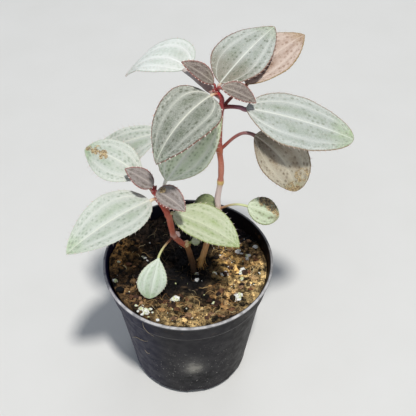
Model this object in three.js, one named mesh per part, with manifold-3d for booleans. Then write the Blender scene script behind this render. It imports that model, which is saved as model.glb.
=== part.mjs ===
import * as THREE from "three";
import Module from "manifold-3d";

const wasm = await Module();
wasm.setup();

// All sizes are in millimetres, +Z is up, and the origin is the middle of the pot's foot.

// Pot: a round 9 cm nursery pot
const POT_HEIGHT = 80;
const RIM_RADIUS = 45;
const RIM_DEPTH = 1.5;
const RIM_WIDTH = 1.9;
const COLLAR_TOP_RADIUS = 43.6;
const COLLAR_FOOT_RADIUS = 42.3;
const COLLAR_FOOT_Z = 67;
const STEP_RADIUS = 40.8;
const STEP_Z = 66.2;
const FOOT_RADIUS = 32.6;
const FOOT_ROUND = 5;
const WALL = 1.2;
const FLOOR = 1.8;
const RIM_CHAMFER = 0.4;
const FOOT_CORNER_SHARE = 0.3;
const POT_SEGMENTS = 36;

// Drainage slots round the foot
const SLOT_COUNT = 8;
const SLOT_TURN = 7;
const SLOT_WIDTH = 8.5;
const SLOT_LENGTH = 12;
const SLOT_HEIGHT = 4.5;

// Gap between touching pieces, and how much larger a hole is than the faceted piece in it
const CLEARANCE = 0.3;
const GROWN = 0.38;

// Soil: fills the pot, higher at the front and left than at the back and right
const SOIL_LEVEL = 73.4;
const SOIL_TILT_X = -0.035;
const SOIL_TILT_Y = -0.055;
const SOIL_LUMP = 1.5;
const SOIL_RINGS = [6, 13, 20, 27, 34, 39.6];
const SOIL_SEGMENTS = POT_SEGMENTS;
const SOIL_EDGE_SPREAD = 1.2;

// Perlite grains: position over the soil and size
const PERLITE = [
  { x: 25.7, y: -20.4, size: 5.6 },
  { x: 28.8, y: -3.2, size: 4.8 },
  { x: -6.2, y: -22.2, size: 4.8 },
  { x: -36.2, y: -11.4, size: 4.2 },
  { x: 26.7, y: 12.6, size: 3.4 },
  { x: 31.6, y: 7.6, size: 3.2 },
  { x: 19.6, y: -3.4, size: 3.4 },
  { x: 4.6, y: -8.6, size: 3 },
  { x: 32.6, y: -11.9, size: 3.2 },
  { x: -32, y: 21.6, size: 3.2 },
  { x: 13.4, y: -24.8, size: 3 },
  { x: -12, y: -33.5, size: 3.4 },
];
const PERLITE_SUNK = 0.45;
const PERLITE_SHAPE = new THREE.Vector3(1, 0.8, 0.7);
const PERLITE_LEAST = 0.82;
const PERLITE_SPREAD = 0.34;
const PERLITE_FINE_ABOVE = 4;

// Tall stem: centre line from the soil to the growing tip
const TALL_STEM_ROOT = [6.6, 3.4, 44];
const TALL_STEM = [
  [6.3, 1.9, 73],
  [10, 1, 92.6],
  [13, 1.2, 110.8],
  [15.4, 1.5, 117],
  [15.2, 1.8, 124],
  [16.5, 2.4, 135.3],
  [16.7, 3, 145.6],
  [15.9, 3.4, 154.7],
  [16.6, 4.2, 169.3],
  [17.3, 4.6, 179.4],
  [16.5, 4.8, 184.3],
  [14.2, 5, 188],
];
const TALL_STEM_RADIUS = 1.45;

// Short stem: the old cut stem, and the side shoot that grew from its last joint
const OLD_STEM_ROOT = [2.6, -3.6, 44];
const OLD_STEM = [
  [3.1, -2.1, 73],
  [1.1, -1.2, 85.2],
  [-0.9, -1.1, 94.4],
];
const OLD_STEM_RADIUS = 1.7;
const SHORT_STEM = [
  [-0.4, -1, 91.8],
  [-3.6, -1.8, 96],
  [-6.8, -2.5, 101.8],
  [-9, -5, 119.5],
  [-13.1, -7, 132.7],
  [-14.9, -8.2, 139.6],
];
const SHORT_STEM_RADIUS = 1.45;

// Stem details shared by both stems
const STEM_SIDES = 8;
const NODE_SWELL = 0.35;
const NODE_REACH = 2.2;
const TIP_TAPER = 0.62;
const TAPER_STEPS = 6;
const BUD_LENGTH = 1.6;
const BUD_RADIUS = 0.35;

// Leaf build
const LEAF_THICK = 0.7;
const MIDRIB_STEPS = 32;
const VEIN_DEPTH = 0.32;
const QUILT_HEIGHT = 0.3;
const TOOTH = 0.45;
const BASE_HALF_WIDTH = 0.7;
const TIP_HALF_WIDTH = 0.3;
const LARGE_LEAF = 30;
const LARGE_COLUMNS = [-1, -0.62, -0.3, 0, 0.3, 0.62, 1];
const SMALL_COLUMNS = [-1, -0.5, 0, 0.5, 1];
const ROW_SPACING = 3.4;
const FEWEST_ROWS = 4;
const MOST_ROWS = 11;
const PETIOLE_SIDES = 5;
const PETIOLE_STEPS = 6;
const PETIOLE_RADIUS = 0.85;
const YOUNG_PETIOLE_RADIUS = 0.65;
const RIB_REACH = 0.2;
const RIB_STEPS = [0.4, 0.75, 1];
const PETIOLE_PULL = 0.4;
const VEIN_COLUMN = 0.62;
const MARGIN_COLUMN = 0.9;
const ROW_EASE = 0.45;
const NORMAL_STEP = 0.02;
const FULL_RELIEF_WIDTH = 20;
const FULL_TOOTH_WIDTH = 14;

// Each leaf starts at a joint of its stem. Its petiole ends at the base of the blade.
// heading: compass turn from +X, rise: climb at the base, bend and turn: change to the tip,
// belly: where it is widest, baseTaper and tipTaper: below 1 is fuller,
// roll and twist: lean about the midrib, fold: angle of each half, skew: right half wider.
const LEAVES = [
  {
    name: "tall_leaf_left",
    colour: 0xc9cfc6,
    node: [16, 4.9, 184.2],
    base: [1.1, 14.9, 193.3],
    stem: "tall",
    leave: 25,
    heading: 124, rise: 3, bend: -57, turn: 60,
    length: 40.2, width: 23.6, belly: 0.42, baseTaper: 0.45, tipTaper: 0.86,
    roll: 16, twist: -9, fold: 1, cup: 0.01, skew: 0.13,
  },
  {
    name: "tall_leaf_back",
    colour: 0x9aa39a,
    node: [14.7, 4.9, 187],
    base: [16, 9.8, 188.8],
    stem: "tall",
    leave: 40,
    heading: 53, rise: 19, bend: -17, turn: -2,
    length: 42, width: 26.3, belly: 0.37, baseTaper: 0.61, tipTaper: 0.8,
    roll: -5, twist: 1, fold: 5, cup: -0.01, skew: -0.03,
  },
  {
    name: "tall_leaf_far",
    colour: 0xa88f86,
    node: [17.3, 4.6, 179.4],
    base: [27.8, 14.5, 184.8],
    stem: "tall",
    leave: 40,
    heading: 48, rise: 23, bend: -24, turn: -7,
    length: 39.9, width: 22.1, belly: 0.43, baseTaper: 0.63, tipTaper: 0.85,
    roll: -6, twist: -5, fold: 9, cup: 0, skew: -0.02,
  },
  {
    name: "tall_leaf_front",
    colour: 0x98a298,
    node: [14.7, 4.9, 187],
    base: [11.5, 2.7, 187.1],
    stem: "tall",
    leave: 40,
    heading: -133, rise: 3, bend: -75, turn: -14,
    length: 41.2, width: 28.3, belly: 0.29, baseTaper: 0.55, tipTaper: 0.92,
    roll: 10, twist: -7, fold: 11, cup: 0.02, skew: -0.03,
  },
  {
    name: "tall_leaf_right",
    colour: 0xb7bfb6,
    node: [17.3, 4.6, 179.4],
    base: [27.5, 2.8, 180.1],
    stem: "tall",
    leave: 15,
    heading: 4, rise: -14, bend: -6, turn: -17,
    length: 51.8, width: 28.3, belly: 0.4, baseTaper: 0.61, tipTaper: 0.53,
    roll: -17, twist: -3, fold: 3, cup: 0, skew: 0.13,
  },
  {
    name: "tall_leaf_low_right",
    colour: 0xa3958c,
    node: [15.9, 3.4, 154.7],
    base: [31.8, 1.4, 165.4],
    stem: "tall",
    leave: 50,
    heading: -24, rise: -20, bend: -54, turn: -13,
    length: 34.9, width: 23, belly: 0.44, baseTaper: 0.63, tipTaper: 0.63,
    roll: -46, twist: -4, fold: 10, cup: 0.01, skew: -0.1,
  },
  {
    name: "tall_leaf_low_left",
    colour: 0xb9c7b8,
    node: [15.9, 3.4, 154.7],
    base: [-11.2, 18.1, 153],
    stem: "tall",
    leave: 30,
    heading: 172, rise: -21, bend: -12, turn: -2,
    length: 40.5, width: 22.5, belly: 0.44, baseTaper: 0.65, tipTaper: 0.67,
    roll: 7, twist: 33, fold: 6, cup: -0.01, skew: -0.35,
  },
  {
    name: "tall_young_leaf_left",
    colour: 0x8f807c,
    node: [14.1, 5, 188.6],
    base: [12.9, 5.8, 191.7],
    stem: "tall",
    leave: 40,
    heading: 170, rise: 42, bend: -16, turn: -1,
    length: 17.1, width: 9.5, belly: 0.42, baseTaper: 0.6, tipTaper: 0.87,
    roll: 17, twist: 4, fold: 19, cup: 0, skew: -0.02,
  },
  {
    name: "tall_young_leaf_right",
    colour: 0x8a7f7a,
    node: [14.1, 5, 188.6],
    base: [16.3, 3.8, 190.9],
    stem: "tall",
    leave: 40,
    heading: -10, rise: -9, bend: -27, turn: 0,
    length: 17.1, width: 9.8, belly: 0.42, baseTaper: 0.6, tipTaper: 0.85,
    roll: -11, twist: -5, fold: 16, cup: 0.01, skew: -0.03,
  },
  {
    name: "tall_small_leaf_left",
    colour: 0x5e6d55,
    node: [15.4, 1.5, 117],
    base: [14.3, 3, 118.6],
    stem: "tall",
    leave: 40,
    heading: 166, rise: 3, bend: -26, turn: 7,
    length: 11.2, width: 10.8, belly: 0.49, baseTaper: 0.48, tipTaper: 0.6,
    roll: 6, twist: 1, fold: 9, cup: 0.01, skew: 0.03,
  },
  {
    name: "tall_small_leaf_right",
    colour: 0x7d8563,
    node: [15.4, 1.5, 117],
    base: [29.8, -4.1, 125.1],
    stem: "tall",
    leave: 40,
    heading: -9, rise: -10, bend: -18, turn: 2,
    length: 16.5, width: 14.4, belly: 0.5, baseTaper: 0.51, tipTaper: 0.59,
    roll: -20, twist: -3, fold: 5, cup: -0.01, skew: 0.07,
  },
  {
    name: "short_leaf_back",
    colour: 0x96a287,
    node: [-13.1, -7, 132.7],
    base: [-8.9, -6.6, 144.7],
    stem: "short",
    leave: 40,
    heading: 16, rise: 57, bend: -10, turn: -1,
    length: 43.3, width: 24.4, belly: 0.41, baseTaper: 0.72, tipTaper: 0.84,
    roll: -73, twist: -1, fold: 8, cup: 0, skew: -0.08,
  },
  {
    name: "short_leaf_upper_left",
    colour: 0xc2ccb6,
    node: [-13.1, -7, 132.7],
    base: [-19.8, -3.2, 141.3],
    stem: "short",
    leave: 40,
    heading: 151, rise: 41, bend: -62, turn: 2,
    length: 35, width: 20.9, belly: 0.47, baseTaper: 0.98, tipTaper: 0.72,
    roll: 14, twist: 15, fold: 3, cup: 0, skew: -0.14,
  },
  {
    name: "short_leaf_left",
    colour: 0xb4c4b2,
    node: [-13.1, -7, 132.7],
    base: [-17.2, -9.6, 134.2],
    stem: "short",
    leave: 40,
    heading: 218, rise: 8, bend: -33, turn: -3,
    length: 47.3, width: 26.6, belly: 0.38, baseTaper: 0.57, tipTaper: 0.79,
    roll: 8, twist: 1, fold: 12, cup: 0.01, skew: -0.03,
  },
  {
    name: "short_leaf_right",
    colour: 0xb7c4a1,
    node: [-9, -5, 119.5],
    base: [-6, -6.1, 122.2],
    stem: "short",
    leave: 40,
    heading: -28, rise: 8, bend: -30, turn: -4,
    length: 37.1, width: 21.1, belly: 0.45, baseTaper: 0.51, tipTaper: 0.82,
    roll: -3, twist: -4, fold: 9, cup: 0.01, skew: -0.03,
  },
  {
    name: "short_young_leaf_left",
    colour: 0x968b86,
    node: [-15, -8.3, 139.9],
    base: [-15.2, -8, 142.7],
    stem: "short",
    leave: 40,
    heading: 173, rise: 43, bend: -15, turn: -1,
    length: 15.8, width: 9.8, belly: 0.41, baseTaper: 0.45, tipTaper: 0.86,
    roll: 27, twist: 2, fold: 9, cup: 0, skew: -0.05,
  },
  {
    name: "short_young_leaf_right",
    colour: 0x9b9793,
    node: [-15, -8.3, 139.9],
    base: [-13.3, -10.2, 141.1],
    stem: "short",
    leave: 40,
    heading: -36, rise: 6, bend: -35, turn: -1,
    length: 17.3, width: 11.3, belly: 0.39, baseTaper: 0.48, tipTaper: 0.86,
    roll: -18, twist: -2, fold: 12, cup: 0.02, skew: -0.06,
  },
  {
    name: "short_low_leaf",
    colour: 0xc0d0b8,
    node: [-6.8, -2.5, 101.8],
    base: [-14.3, -13.3, 96.9],
    stem: "short",
    leave: -10,
    heading: -110, rise: -44, bend: -23, turn: -7,
    length: 22.3, width: 15.2, belly: 0.56, baseTaper: 0.9, tipTaper: 0.62,
    roll: 29, twist: 5, fold: 6, cup: -0.01, skew: 0.09,
  },
  {
    name: "short_sprout_leaf",
    colour: 0x8fa070,
    node: [-0.4, -1, 92.8],
    base: [2, -1.6, 96.1],
    stem: "short",
    leave: 40,
    heading: 1, rise: 12, bend: -25, turn: 0,
    length: 4.5, width: 5.2, belly: 0.5, baseTaper: 0.5, tipTaper: 0.5,
    roll: -13, twist: 0, fold: 8, cup: 0, skew: 0,
  },
];

const COLOURS = {
  pot: 0x33363c,
  soil: 0x3b2b1e,
  perlite: 0xd9d6cc,
  tall_stem: 0x8f4a3c,
  short_stem: 0x7d3f33,
};

const DEG = Math.PI / 180;
const UP = new THREE.Vector3(0, 0, 1);

function randomFrom(seed) {
  let state = seed;
  return () => {
    state = (state * 1664525 + 1013904223) % 4294967296;
    return state / 4294967296;
  };
}

function closedGeometry(vertices, faces) {
  const geometry = new THREE.BufferGeometry();
  geometry.setAttribute("position", new THREE.Float32BufferAttribute(vertices.flat(), 3));
  geometry.setIndex(faces.flat());
  return geometry;
}

function toManifold(geometry) {
  const vertProperties = new Float32Array(geometry.getAttribute("position").array);
  const triVerts = new Uint32Array(geometry.getIndex().array);
  return new wasm.Manifold(new wasm.Mesh({ numProp: 3, vertProperties, triVerts }));
}

function toGeometry(manifold) {
  const mesh = manifold.getMesh();
  const geometry = new THREE.BufferGeometry();
  geometry.setAttribute("position", new THREE.Float32BufferAttribute(mesh.vertProperties, 3));
  geometry.setIndex(Array.from(mesh.triVerts));
  return geometry;
}

function meshOf(name, geometry, colour, roughness) {
  const flat = geometry.toNonIndexed();
  flat.computeVertexNormals();
  const material = new THREE.MeshStandardMaterial({ color: colour, roughness, metalness: 0 });
  const mesh = new THREE.Mesh(flat, material);
  mesh.name = name;
  return mesh;
}

// Joins the vertices of a three.js geometry that lie in one place
function welded(geometry) {
  const source = geometry.getAttribute("position");
  const vertices = [];
  const index = new Map();
  const remap = [];
  for (let k = 0; k < source.count; k++) {
    const point = [source.getX(k), source.getY(k), source.getZ(k)];
    const key = point.map((value) => value.toFixed(4)).join(",");
    if (!index.has(key)) {
      index.set(key, vertices.length);
      vertices.push(point);
    }
    remap.push(index.get(key));
  }
  const order = geometry.getIndex() ? Array.from(geometry.getIndex().array) : remap.map((_, k) => k);
  return closedGeometry(vertices, [order.map((k) => remap[k])]);
}

// Solid of revolution about Z. The profile starts and ends on the axis.
function revolve(profile, segments, lift = () => 0) {
  const vertices = [];
  const rings = profile.map(([r, z]) => {
    const ring = [];
    const count = r === 0 ? 1 : segments;
    for (let k = 0; k < count; k++) {
      const angle = (2 * Math.PI * k) / segments;
      const x = r * Math.cos(angle);
      const y = r * Math.sin(angle);
      ring.push(vertices.length);
      vertices.push([x, y, z + lift(x, y, z)]);
    }
    return ring;
  });
  const faces = [];
  for (let i = 0; i < rings.length - 1; i++) {
    for (let k = 0; k < segments; k++) {
      const next = (k + 1) % segments;
      const a = rings[i][k % rings[i].length];
      const b = rings[i][next % rings[i].length];
      const c = rings[i + 1][next % rings[i + 1].length];
      const d = rings[i + 1][k % rings[i + 1].length];
      if (a !== b) faces.push([a, b, c]);
      if (c !== d) faces.push([a, c, d]);
    }
  }
  return closedGeometry(vertices, faces);
}

// Round bar along a list of points, with a radius for each point
function bar(points, radii, sides) {
  const vertices = [];
  const faces = [];
  let side = null;
  points.forEach((point, i) => {
    const before = points[Math.max(i - 1, 0)];
    const after = points[Math.min(i + 1, points.length - 1)];
    const along = after.clone().sub(before).normalize();
    if (side === null) {
      const helper = Math.abs(along.z) > 0.9 ? new THREE.Vector3(1, 0, 0) : UP;
      side = new THREE.Vector3().crossVectors(along, helper).normalize();
    }
    side.addScaledVector(along, -side.dot(along)).normalize();
    const across = new THREE.Vector3().crossVectors(along, side);
    for (let k = 0; k < sides; k++) {
      const angle = (2 * Math.PI * k) / sides;
      const spot = point.clone()
        .addScaledVector(side, radii[i] * Math.cos(angle))
        .addScaledVector(across, radii[i] * Math.sin(angle));
      vertices.push(spot.toArray());
    }
  });
  const last = (points.length - 1) * sides;
  for (let i = 0; i < points.length - 1; i++) {
    for (let k = 0; k < sides; k++) {
      const a = i * sides + k;
      const b = i * sides + ((k + 1) % sides);
      faces.push([a, b, b + sides], [a, b + sides, a + sides]);
    }
  }
  for (let k = 1; k < sides - 1; k++) {
    faces.push([0, k + 1, k], [last, last + k, last + k + 1]);
  }
  return closedGeometry(vertices, faces);
}

// Pot

function buildPot() {
  const corner = FOOT_ROUND * FOOT_CORNER_SHARE;
  const outerTaper = (STEP_RADIUS - FOOT_RADIUS) / (STEP_Z - FOOT_ROUND);
  const profile = [
    [0, 0],
    [FOOT_RADIUS - FOOT_ROUND, 0],
    [FOOT_RADIUS - corner, corner],
    [FOOT_RADIUS, FOOT_ROUND],
    [STEP_RADIUS, STEP_Z],
    [COLLAR_FOOT_RADIUS, COLLAR_FOOT_Z],
    [COLLAR_TOP_RADIUS, POT_HEIGHT - 2 * RIM_DEPTH],
    [RIM_RADIUS, POT_HEIGHT - RIM_DEPTH],
    [RIM_RADIUS, POT_HEIGHT - RIM_CHAMFER],
    [RIM_RADIUS - RIM_CHAMFER, POT_HEIGHT],
    [RIM_RADIUS - RIM_WIDTH, POT_HEIGHT],
    [COLLAR_TOP_RADIUS - WALL, POT_HEIGHT - 2 * RIM_DEPTH],
    [COLLAR_FOOT_RADIUS - WALL, COLLAR_FOOT_Z],
    [STEP_RADIUS - WALL, STEP_Z - WALL],
    [FOOT_RADIUS - WALL + outerTaper, FOOT_ROUND + FLOOR],
    [FOOT_RADIUS - FOOT_ROUND, FLOOR],
    [0, FLOOR],
  ];
  let pot = toManifold(revolve(profile, POT_SEGMENTS));
  for (let k = 0; k < SLOT_COUNT; k++) {
    const angle = SLOT_TURN * DEG + (2 * Math.PI * k) / SLOT_COUNT;
    const box = new THREE.BoxGeometry(SLOT_LENGTH, SLOT_WIDTH, 2 * SLOT_HEIGHT);
    box.translate(FOOT_RADIUS, 0, 0);
    box.rotateZ(angle);
    pot = pot.subtract(toManifold(welded(box)));
  }
  return toGeometry(pot);
}

// Soil

function soilTop(x, y) {
  const lumps = Math.sin(x * 0.31 + 1.3) * Math.cos(y * 0.27 - 0.6) + 0.6 * Math.sin(x * 0.83 - y * 0.61);
  return SOIL_LEVEL + SOIL_TILT_X * x + SOIL_TILT_Y * y + (SOIL_LUMP * lumps) / 1.6;
}

function soilBody() {
  const inset = WALL + CLEARANCE;
  const floorZ = FLOOR + CLEARANCE;
  const edge = SOIL_RINGS[SOIL_RINGS.length - 1];
  const random = randomFrom(7);
  const roughness = new Map();
  const profile = [
    [0, floorZ],
    [FOOT_RADIUS - FOOT_ROUND - CLEARANCE, floorZ],
    [FOOT_RADIUS - inset, FOOT_ROUND + FLOOR + CLEARANCE],
    [STEP_RADIUS - inset, STEP_Z - WALL],
    [COLLAR_FOOT_RADIUS - inset, COLLAR_FOOT_Z + CLEARANCE],
    ...SOIL_RINGS.slice().reverse().map((r) => [r === edge ? r + SOIL_EDGE_SPREAD : r, SOIL_LEVEL]),
    [0, SOIL_LEVEL],
  ];
  return revolve(profile, SOIL_SEGMENTS, (x, y, z) => {
    if (z !== SOIL_LEVEL) return 0;
    const key = `${x.toFixed(2)},${y.toFixed(2)}`;
    if (!roughness.has(key)) roughness.set(key, (random() - 0.5) * SOIL_LUMP);
    return soilTop(x, y) - SOIL_LEVEL + roughness.get(key);
  });
}

// One perlite grain, with its corners pulled in and out at random
function grain(spec, seed, growth) {
  const random = randomFrom(seed);
  const ball = welded(new THREE.IcosahedronGeometry(1, spec.size > PERLITE_FINE_ABOVE ? 1 : 0));
  const position = ball.getAttribute("position");
  for (let k = 0; k < position.count; k++) {
    const point = new THREE.Vector3().fromBufferAttribute(position, k);
    point.setLength((spec.size / 2) * (PERLITE_LEAST + PERLITE_SPREAD * random()));
    point.multiply(PERLITE_SHAPE);
    point.setLength(point.length() + growth);
    position.setXYZ(k, point.x, point.y, point.z);
  }
  ball.rotateZ(seed);
  const lift = (spec.size / 2) * PERLITE_SHAPE.z * (1 - 2 * PERLITE_SUNK);
  ball.translate(spec.x, spec.y, soilTop(spec.x, spec.y) + lift);
  return ball;
}

function buildSoil() {
  let soil = toManifold(soilBody());
  const holes = [
    [TALL_STEM_ROOT, TALL_STEM, TALL_STEM_RADIUS],
    [OLD_STEM_ROOT, OLD_STEM, OLD_STEM_RADIUS],
  ];
  for (const [root, path, radius] of holes) {
    const points = [root, ...path.slice(0, 2)].map((spot) => new THREE.Vector3(...spot));
    points[0].z -= CLEARANCE;
    const radii = points.map(() => radius + GROWN);
    soil = soil.subtract(toManifold(bar(points, radii, STEM_SIDES)));
  }
  PERLITE.forEach((spec, k) => {
    soil = soil.subtract(toManifold(grain(spec, k + 1, GROWN)));
  });
  return toGeometry(largest(soil));
}

function largest(manifold) {
  const pieces = manifold.decompose();
  pieces.sort((a, b) => b.volume() - a.volume());
  return pieces[0];
}

// Stems

function smoothPath(path, perStep) {
  const curve = new THREE.CatmullRomCurve3(path.map((p) => new THREE.Vector3(...p)), false, "centripetal");
  return curve.getPoints((path.length - 1) * perStep);
}

function swelling(point, joints) {
  return joints.reduce((sum, joint) => {
    const distance = point.distanceTo(new THREE.Vector3(...joint));
    return Math.max(sum, 1 - distance / NODE_REACH);
  }, 0);
}

// A stem's radius shrinks over its last steps and swells at its joints
function stemRadii(points, radius, joints, taperSteps) {
  return points.map((point, i) => {
    const towardsTip = Math.max(0, (i - points.length + 1 + taperSteps) / taperSteps);
    return radius * (1 - (1 - TIP_TAPER) * towardsTip) + NODE_SWELL * swelling(point, joints);
  });
}

function tallStem(growth) {
  const joints = [TALL_STEM[3], TALL_STEM[5], TALL_STEM[7], TALL_STEM[9]];
  const points = [new THREE.Vector3(...TALL_STEM_ROOT), ...smoothPath(TALL_STEM, 3)];
  const radii = stemRadii(points, TALL_STEM_RADIUS, joints, TAPER_STEPS);
  return toManifold(bar(...withBud(points, radii, growth), STEM_SIDES));
}

function shortStem(growth) {
  const oldPoints = [new THREE.Vector3(...OLD_STEM_ROOT), ...smoothPath(OLD_STEM, 2)];
  const oldRadii = oldPoints.map((point) => {
    return OLD_STEM_RADIUS + NODE_SWELL * swelling(point, [OLD_STEM[2]]) + growth;
  });
  oldPoints[oldPoints.length - 1].z += growth;
  const old = toManifold(bar(oldPoints, oldRadii, STEM_SIDES));
  const points = smoothPath(SHORT_STEM, 3);
  const joints = [SHORT_STEM[2], SHORT_STEM[3], SHORT_STEM[4]];
  const radii = stemRadii(points, SHORT_STEM_RADIUS, joints, TAPER_STEPS);
  return old.add(toManifold(bar(...withBud(points, radii, growth), STEM_SIDES)));
}

// Adds the growing tip's bud, and thickens the whole by growth
function withBud(points, radii, growth) {
  const tip = points[points.length - 1];
  const bud = tip.clone().addScaledVector(UP, BUD_LENGTH + growth);
  return [[...points, bud], [...radii, BUD_RADIUS].map((radius) => radius + growth)];
}

// Leaves

function direction(headingDegrees, riseDegrees) {
  const heading = headingDegrees * DEG;
  const rise = riseDegrees * DEG;
  const level = Math.cos(rise);
  return new THREE.Vector3(level * Math.cos(heading), level * Math.sin(heading), Math.sin(rise));
}

// Walks the midrib in short steps and carries the blade's side direction along with it
function midribStations(leaf) {
  const stations = [];
  const point = new THREE.Vector3(...leaf.base);
  const side = new THREE.Vector3(Math.sin(leaf.heading * DEG), -Math.cos(leaf.heading * DEG), 0);
  for (let k = 0; k <= MIDRIB_STEPS; k++) {
    const s = k / MIDRIB_STEPS;
    const along = direction(leaf.heading + leaf.turn * s, leaf.rise + leaf.bend * s);
    side.addScaledVector(along, -side.dot(along)).normalize();
    const up = new THREE.Vector3().crossVectors(side, along);
    const lean = (leaf.roll + leaf.twist * s) * DEG;
    stations.push({
      point: point.clone(),
      side: side.clone().multiplyScalar(Math.cos(lean)).addScaledVector(up, Math.sin(lean)),
      up: up.multiplyScalar(Math.cos(lean)).addScaledVector(side, -Math.sin(lean)),
    });
    const half = s + 0.5 / MIDRIB_STEPS;
    const step = direction(leaf.heading + leaf.turn * half, leaf.rise + leaf.bend * half);
    point.addScaledVector(step, leaf.length / MIDRIB_STEPS);
  }
  return stations;
}

function stationAt(stations, t) {
  const place = Math.min(Math.max(t, 0), 1) * MIDRIB_STEPS;
  const k = Math.min(Math.floor(place), MIDRIB_STEPS - 1);
  const f = place - k;
  return {
    point: stations[k].point.clone().lerp(stations[k + 1].point, f),
    side: stations[k].side.clone().lerp(stations[k + 1].side, f),
    up: stations[k].up.clone().lerp(stations[k + 1].up, f),
  };
}

function halfWidth(leaf, t) {
  const fromBase = Math.sin((Math.PI / 2) * Math.min(t / leaf.belly, 1)) ** leaf.baseTaper;
  const fromTip = Math.sin((Math.PI / 2) * Math.min((1 - t) / (1 - leaf.belly), 1)) ** leaf.tipTaper;
  const least = BASE_HALF_WIDTH + (TIP_HALF_WIDTH - BASE_HALF_WIDTH) * t;
  return Math.max((leaf.width / 2) * Math.min(fromBase, fromTip), least);
}

// Sunken midrib and side veins, with the blade raised between them
function relief(leaf, t, u) {
  const fade = Math.sin(Math.PI * Math.min(Math.max(t, 0), 1)) ** 0.5;
  const size = Math.min(leaf.width / FULL_RELIEF_WIDTH, 1) * fade;
  const out = Math.abs(u);
  if (out < 0.01 || Math.abs(out - VEIN_COLUMN) < 0.01) return -VEIN_DEPTH * size;
  return out < MARGIN_COLUMN ? QUILT_HEIGHT * size : 0;
}

function bladePoint(leaf, stations, t, u, tooth = 0) {
  const { point, side, up } = stationAt(stations, t);
  const half = halfWidth(leaf, t) + tooth;
  const out = u * (1 + leaf.skew * Math.sign(u));
  const fold = leaf.fold * DEG;
  const lift = half * (Math.abs(out) * Math.sin(fold) + leaf.cup * out * out);
  return point
    .addScaledVector(side, out * half * Math.cos(fold))
    .addScaledVector(up, lift + relief(leaf, t, u));
}

function bladeNormal(leaf, stations, t, u) {
  const low = Math.max(t - NORMAL_STEP, 0);
  const high = Math.min(t + NORMAL_STEP, 1);
  const inside = u * MARGIN_COLUMN;
  const along = bladePoint(leaf, stations, high, inside).sub(bladePoint(leaf, stations, low, inside));
  const { side, up } = stationAt(stations, t);
  const fold = leaf.fold * DEG * Math.sign(u);
  const slope = fold + Math.atan(2 * leaf.cup * u);
  const across = side.multiplyScalar(Math.cos(slope)).addScaledVector(up, Math.sin(slope));
  return new THREE.Vector3().crossVectors(across, along).normalize();
}

// Two alike faces of rows and columns, joined by a toothed margin
function bladeGeometry(leaf, stations) {
  const large = leaf.length > LARGE_LEAF;
  const columns = large ? LARGE_COLUMNS : SMALL_COLUMNS;
  const rows = Math.min(Math.max(Math.round(leaf.length / ROW_SPACING), FEWEST_ROWS), MOST_ROWS);
  const vertices = [];
  const offsets = [LEAF_THICK / 2, -LEAF_THICK / 2];
  const layers = offsets.map((offset) => {
    const place = (row, u, tooth) => {
      const x = row / rows;
      const eased = 0.5 - 0.5 * Math.cos(Math.PI * x);
      const t = x + ROW_EASE * (eased - x);
      const spot = bladePoint(leaf, stations, t, u, tooth);
      spot.addScaledVector(bladeNormal(leaf, stations, t, u), offset);
      vertices.push(spot.toArray());
      return vertices.length - 1;
    };
    const grid = [];
    for (let i = 0; i <= rows; i++) grid.push(columns.map((u) => place(i, u, 0)));
    const toothSize = TOOTH * Math.min(1, leaf.width / FULL_TOOTH_WIDTH);
    const toothAt = (i) => toothSize * Math.sin((Math.PI * (i + 0.5)) / rows) ** 0.5;
    const left = [];
    const right = [];
    for (let i = 0; i < rows; i++) {
      left.push(place(i + 0.5, -1, toothAt(i)));
      right.push(place(i + 0.5, 1, toothAt(i)));
    }
    return { grid, left, right };
  });
  const faces = [];
  const end = columns.length - 1;
  layers.forEach(({ grid, left, right }, layer) => {
    const add = (a, b, c) => faces.push(layer === 0 ? [a, b, c] : [a, c, b]);
    for (let i = 0; i < rows; i++) {
      const near = grid[i];
      const far = grid[i + 1];
      for (let j = 1; j < end - 1; j++) {
        add(near[j], near[j + 1], far[j + 1]);
        add(near[j], far[j + 1], far[j]);
      }
      add(near[0], near[1], left[i]);
      add(near[1], far[1], left[i]);
      add(far[1], far[0], left[i]);
      add(near[end], right[i], near[end - 1]);
      add(right[i], far[end - 1], near[end - 1]);
      add(right[i], far[end], far[end - 1]);
    }
  });
  const [top, under] = layers;
  const wall = (a, b, c, d) => faces.push([a, b, c], [a, c, d]);
  for (let i = 0; i < rows; i++) {
    wall(top.grid[i][0], top.left[i], under.left[i], under.grid[i][0]);
    wall(top.left[i], top.grid[i + 1][0], under.grid[i + 1][0], under.left[i]);
    wall(under.grid[i][end], under.right[i], top.right[i], top.grid[i][end]);
    wall(under.right[i], under.grid[i + 1][end], top.grid[i + 1][end], top.right[i]);
  }
  for (let j = 0; j < end; j++) {
    wall(under.grid[0][j], under.grid[0][j + 1], top.grid[0][j + 1], top.grid[0][j]);
    wall(top.grid[rows][j], top.grid[rows][j + 1], under.grid[rows][j + 1], under.grid[rows][j]);
  }
  return closedGeometry(vertices, faces);
}

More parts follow.
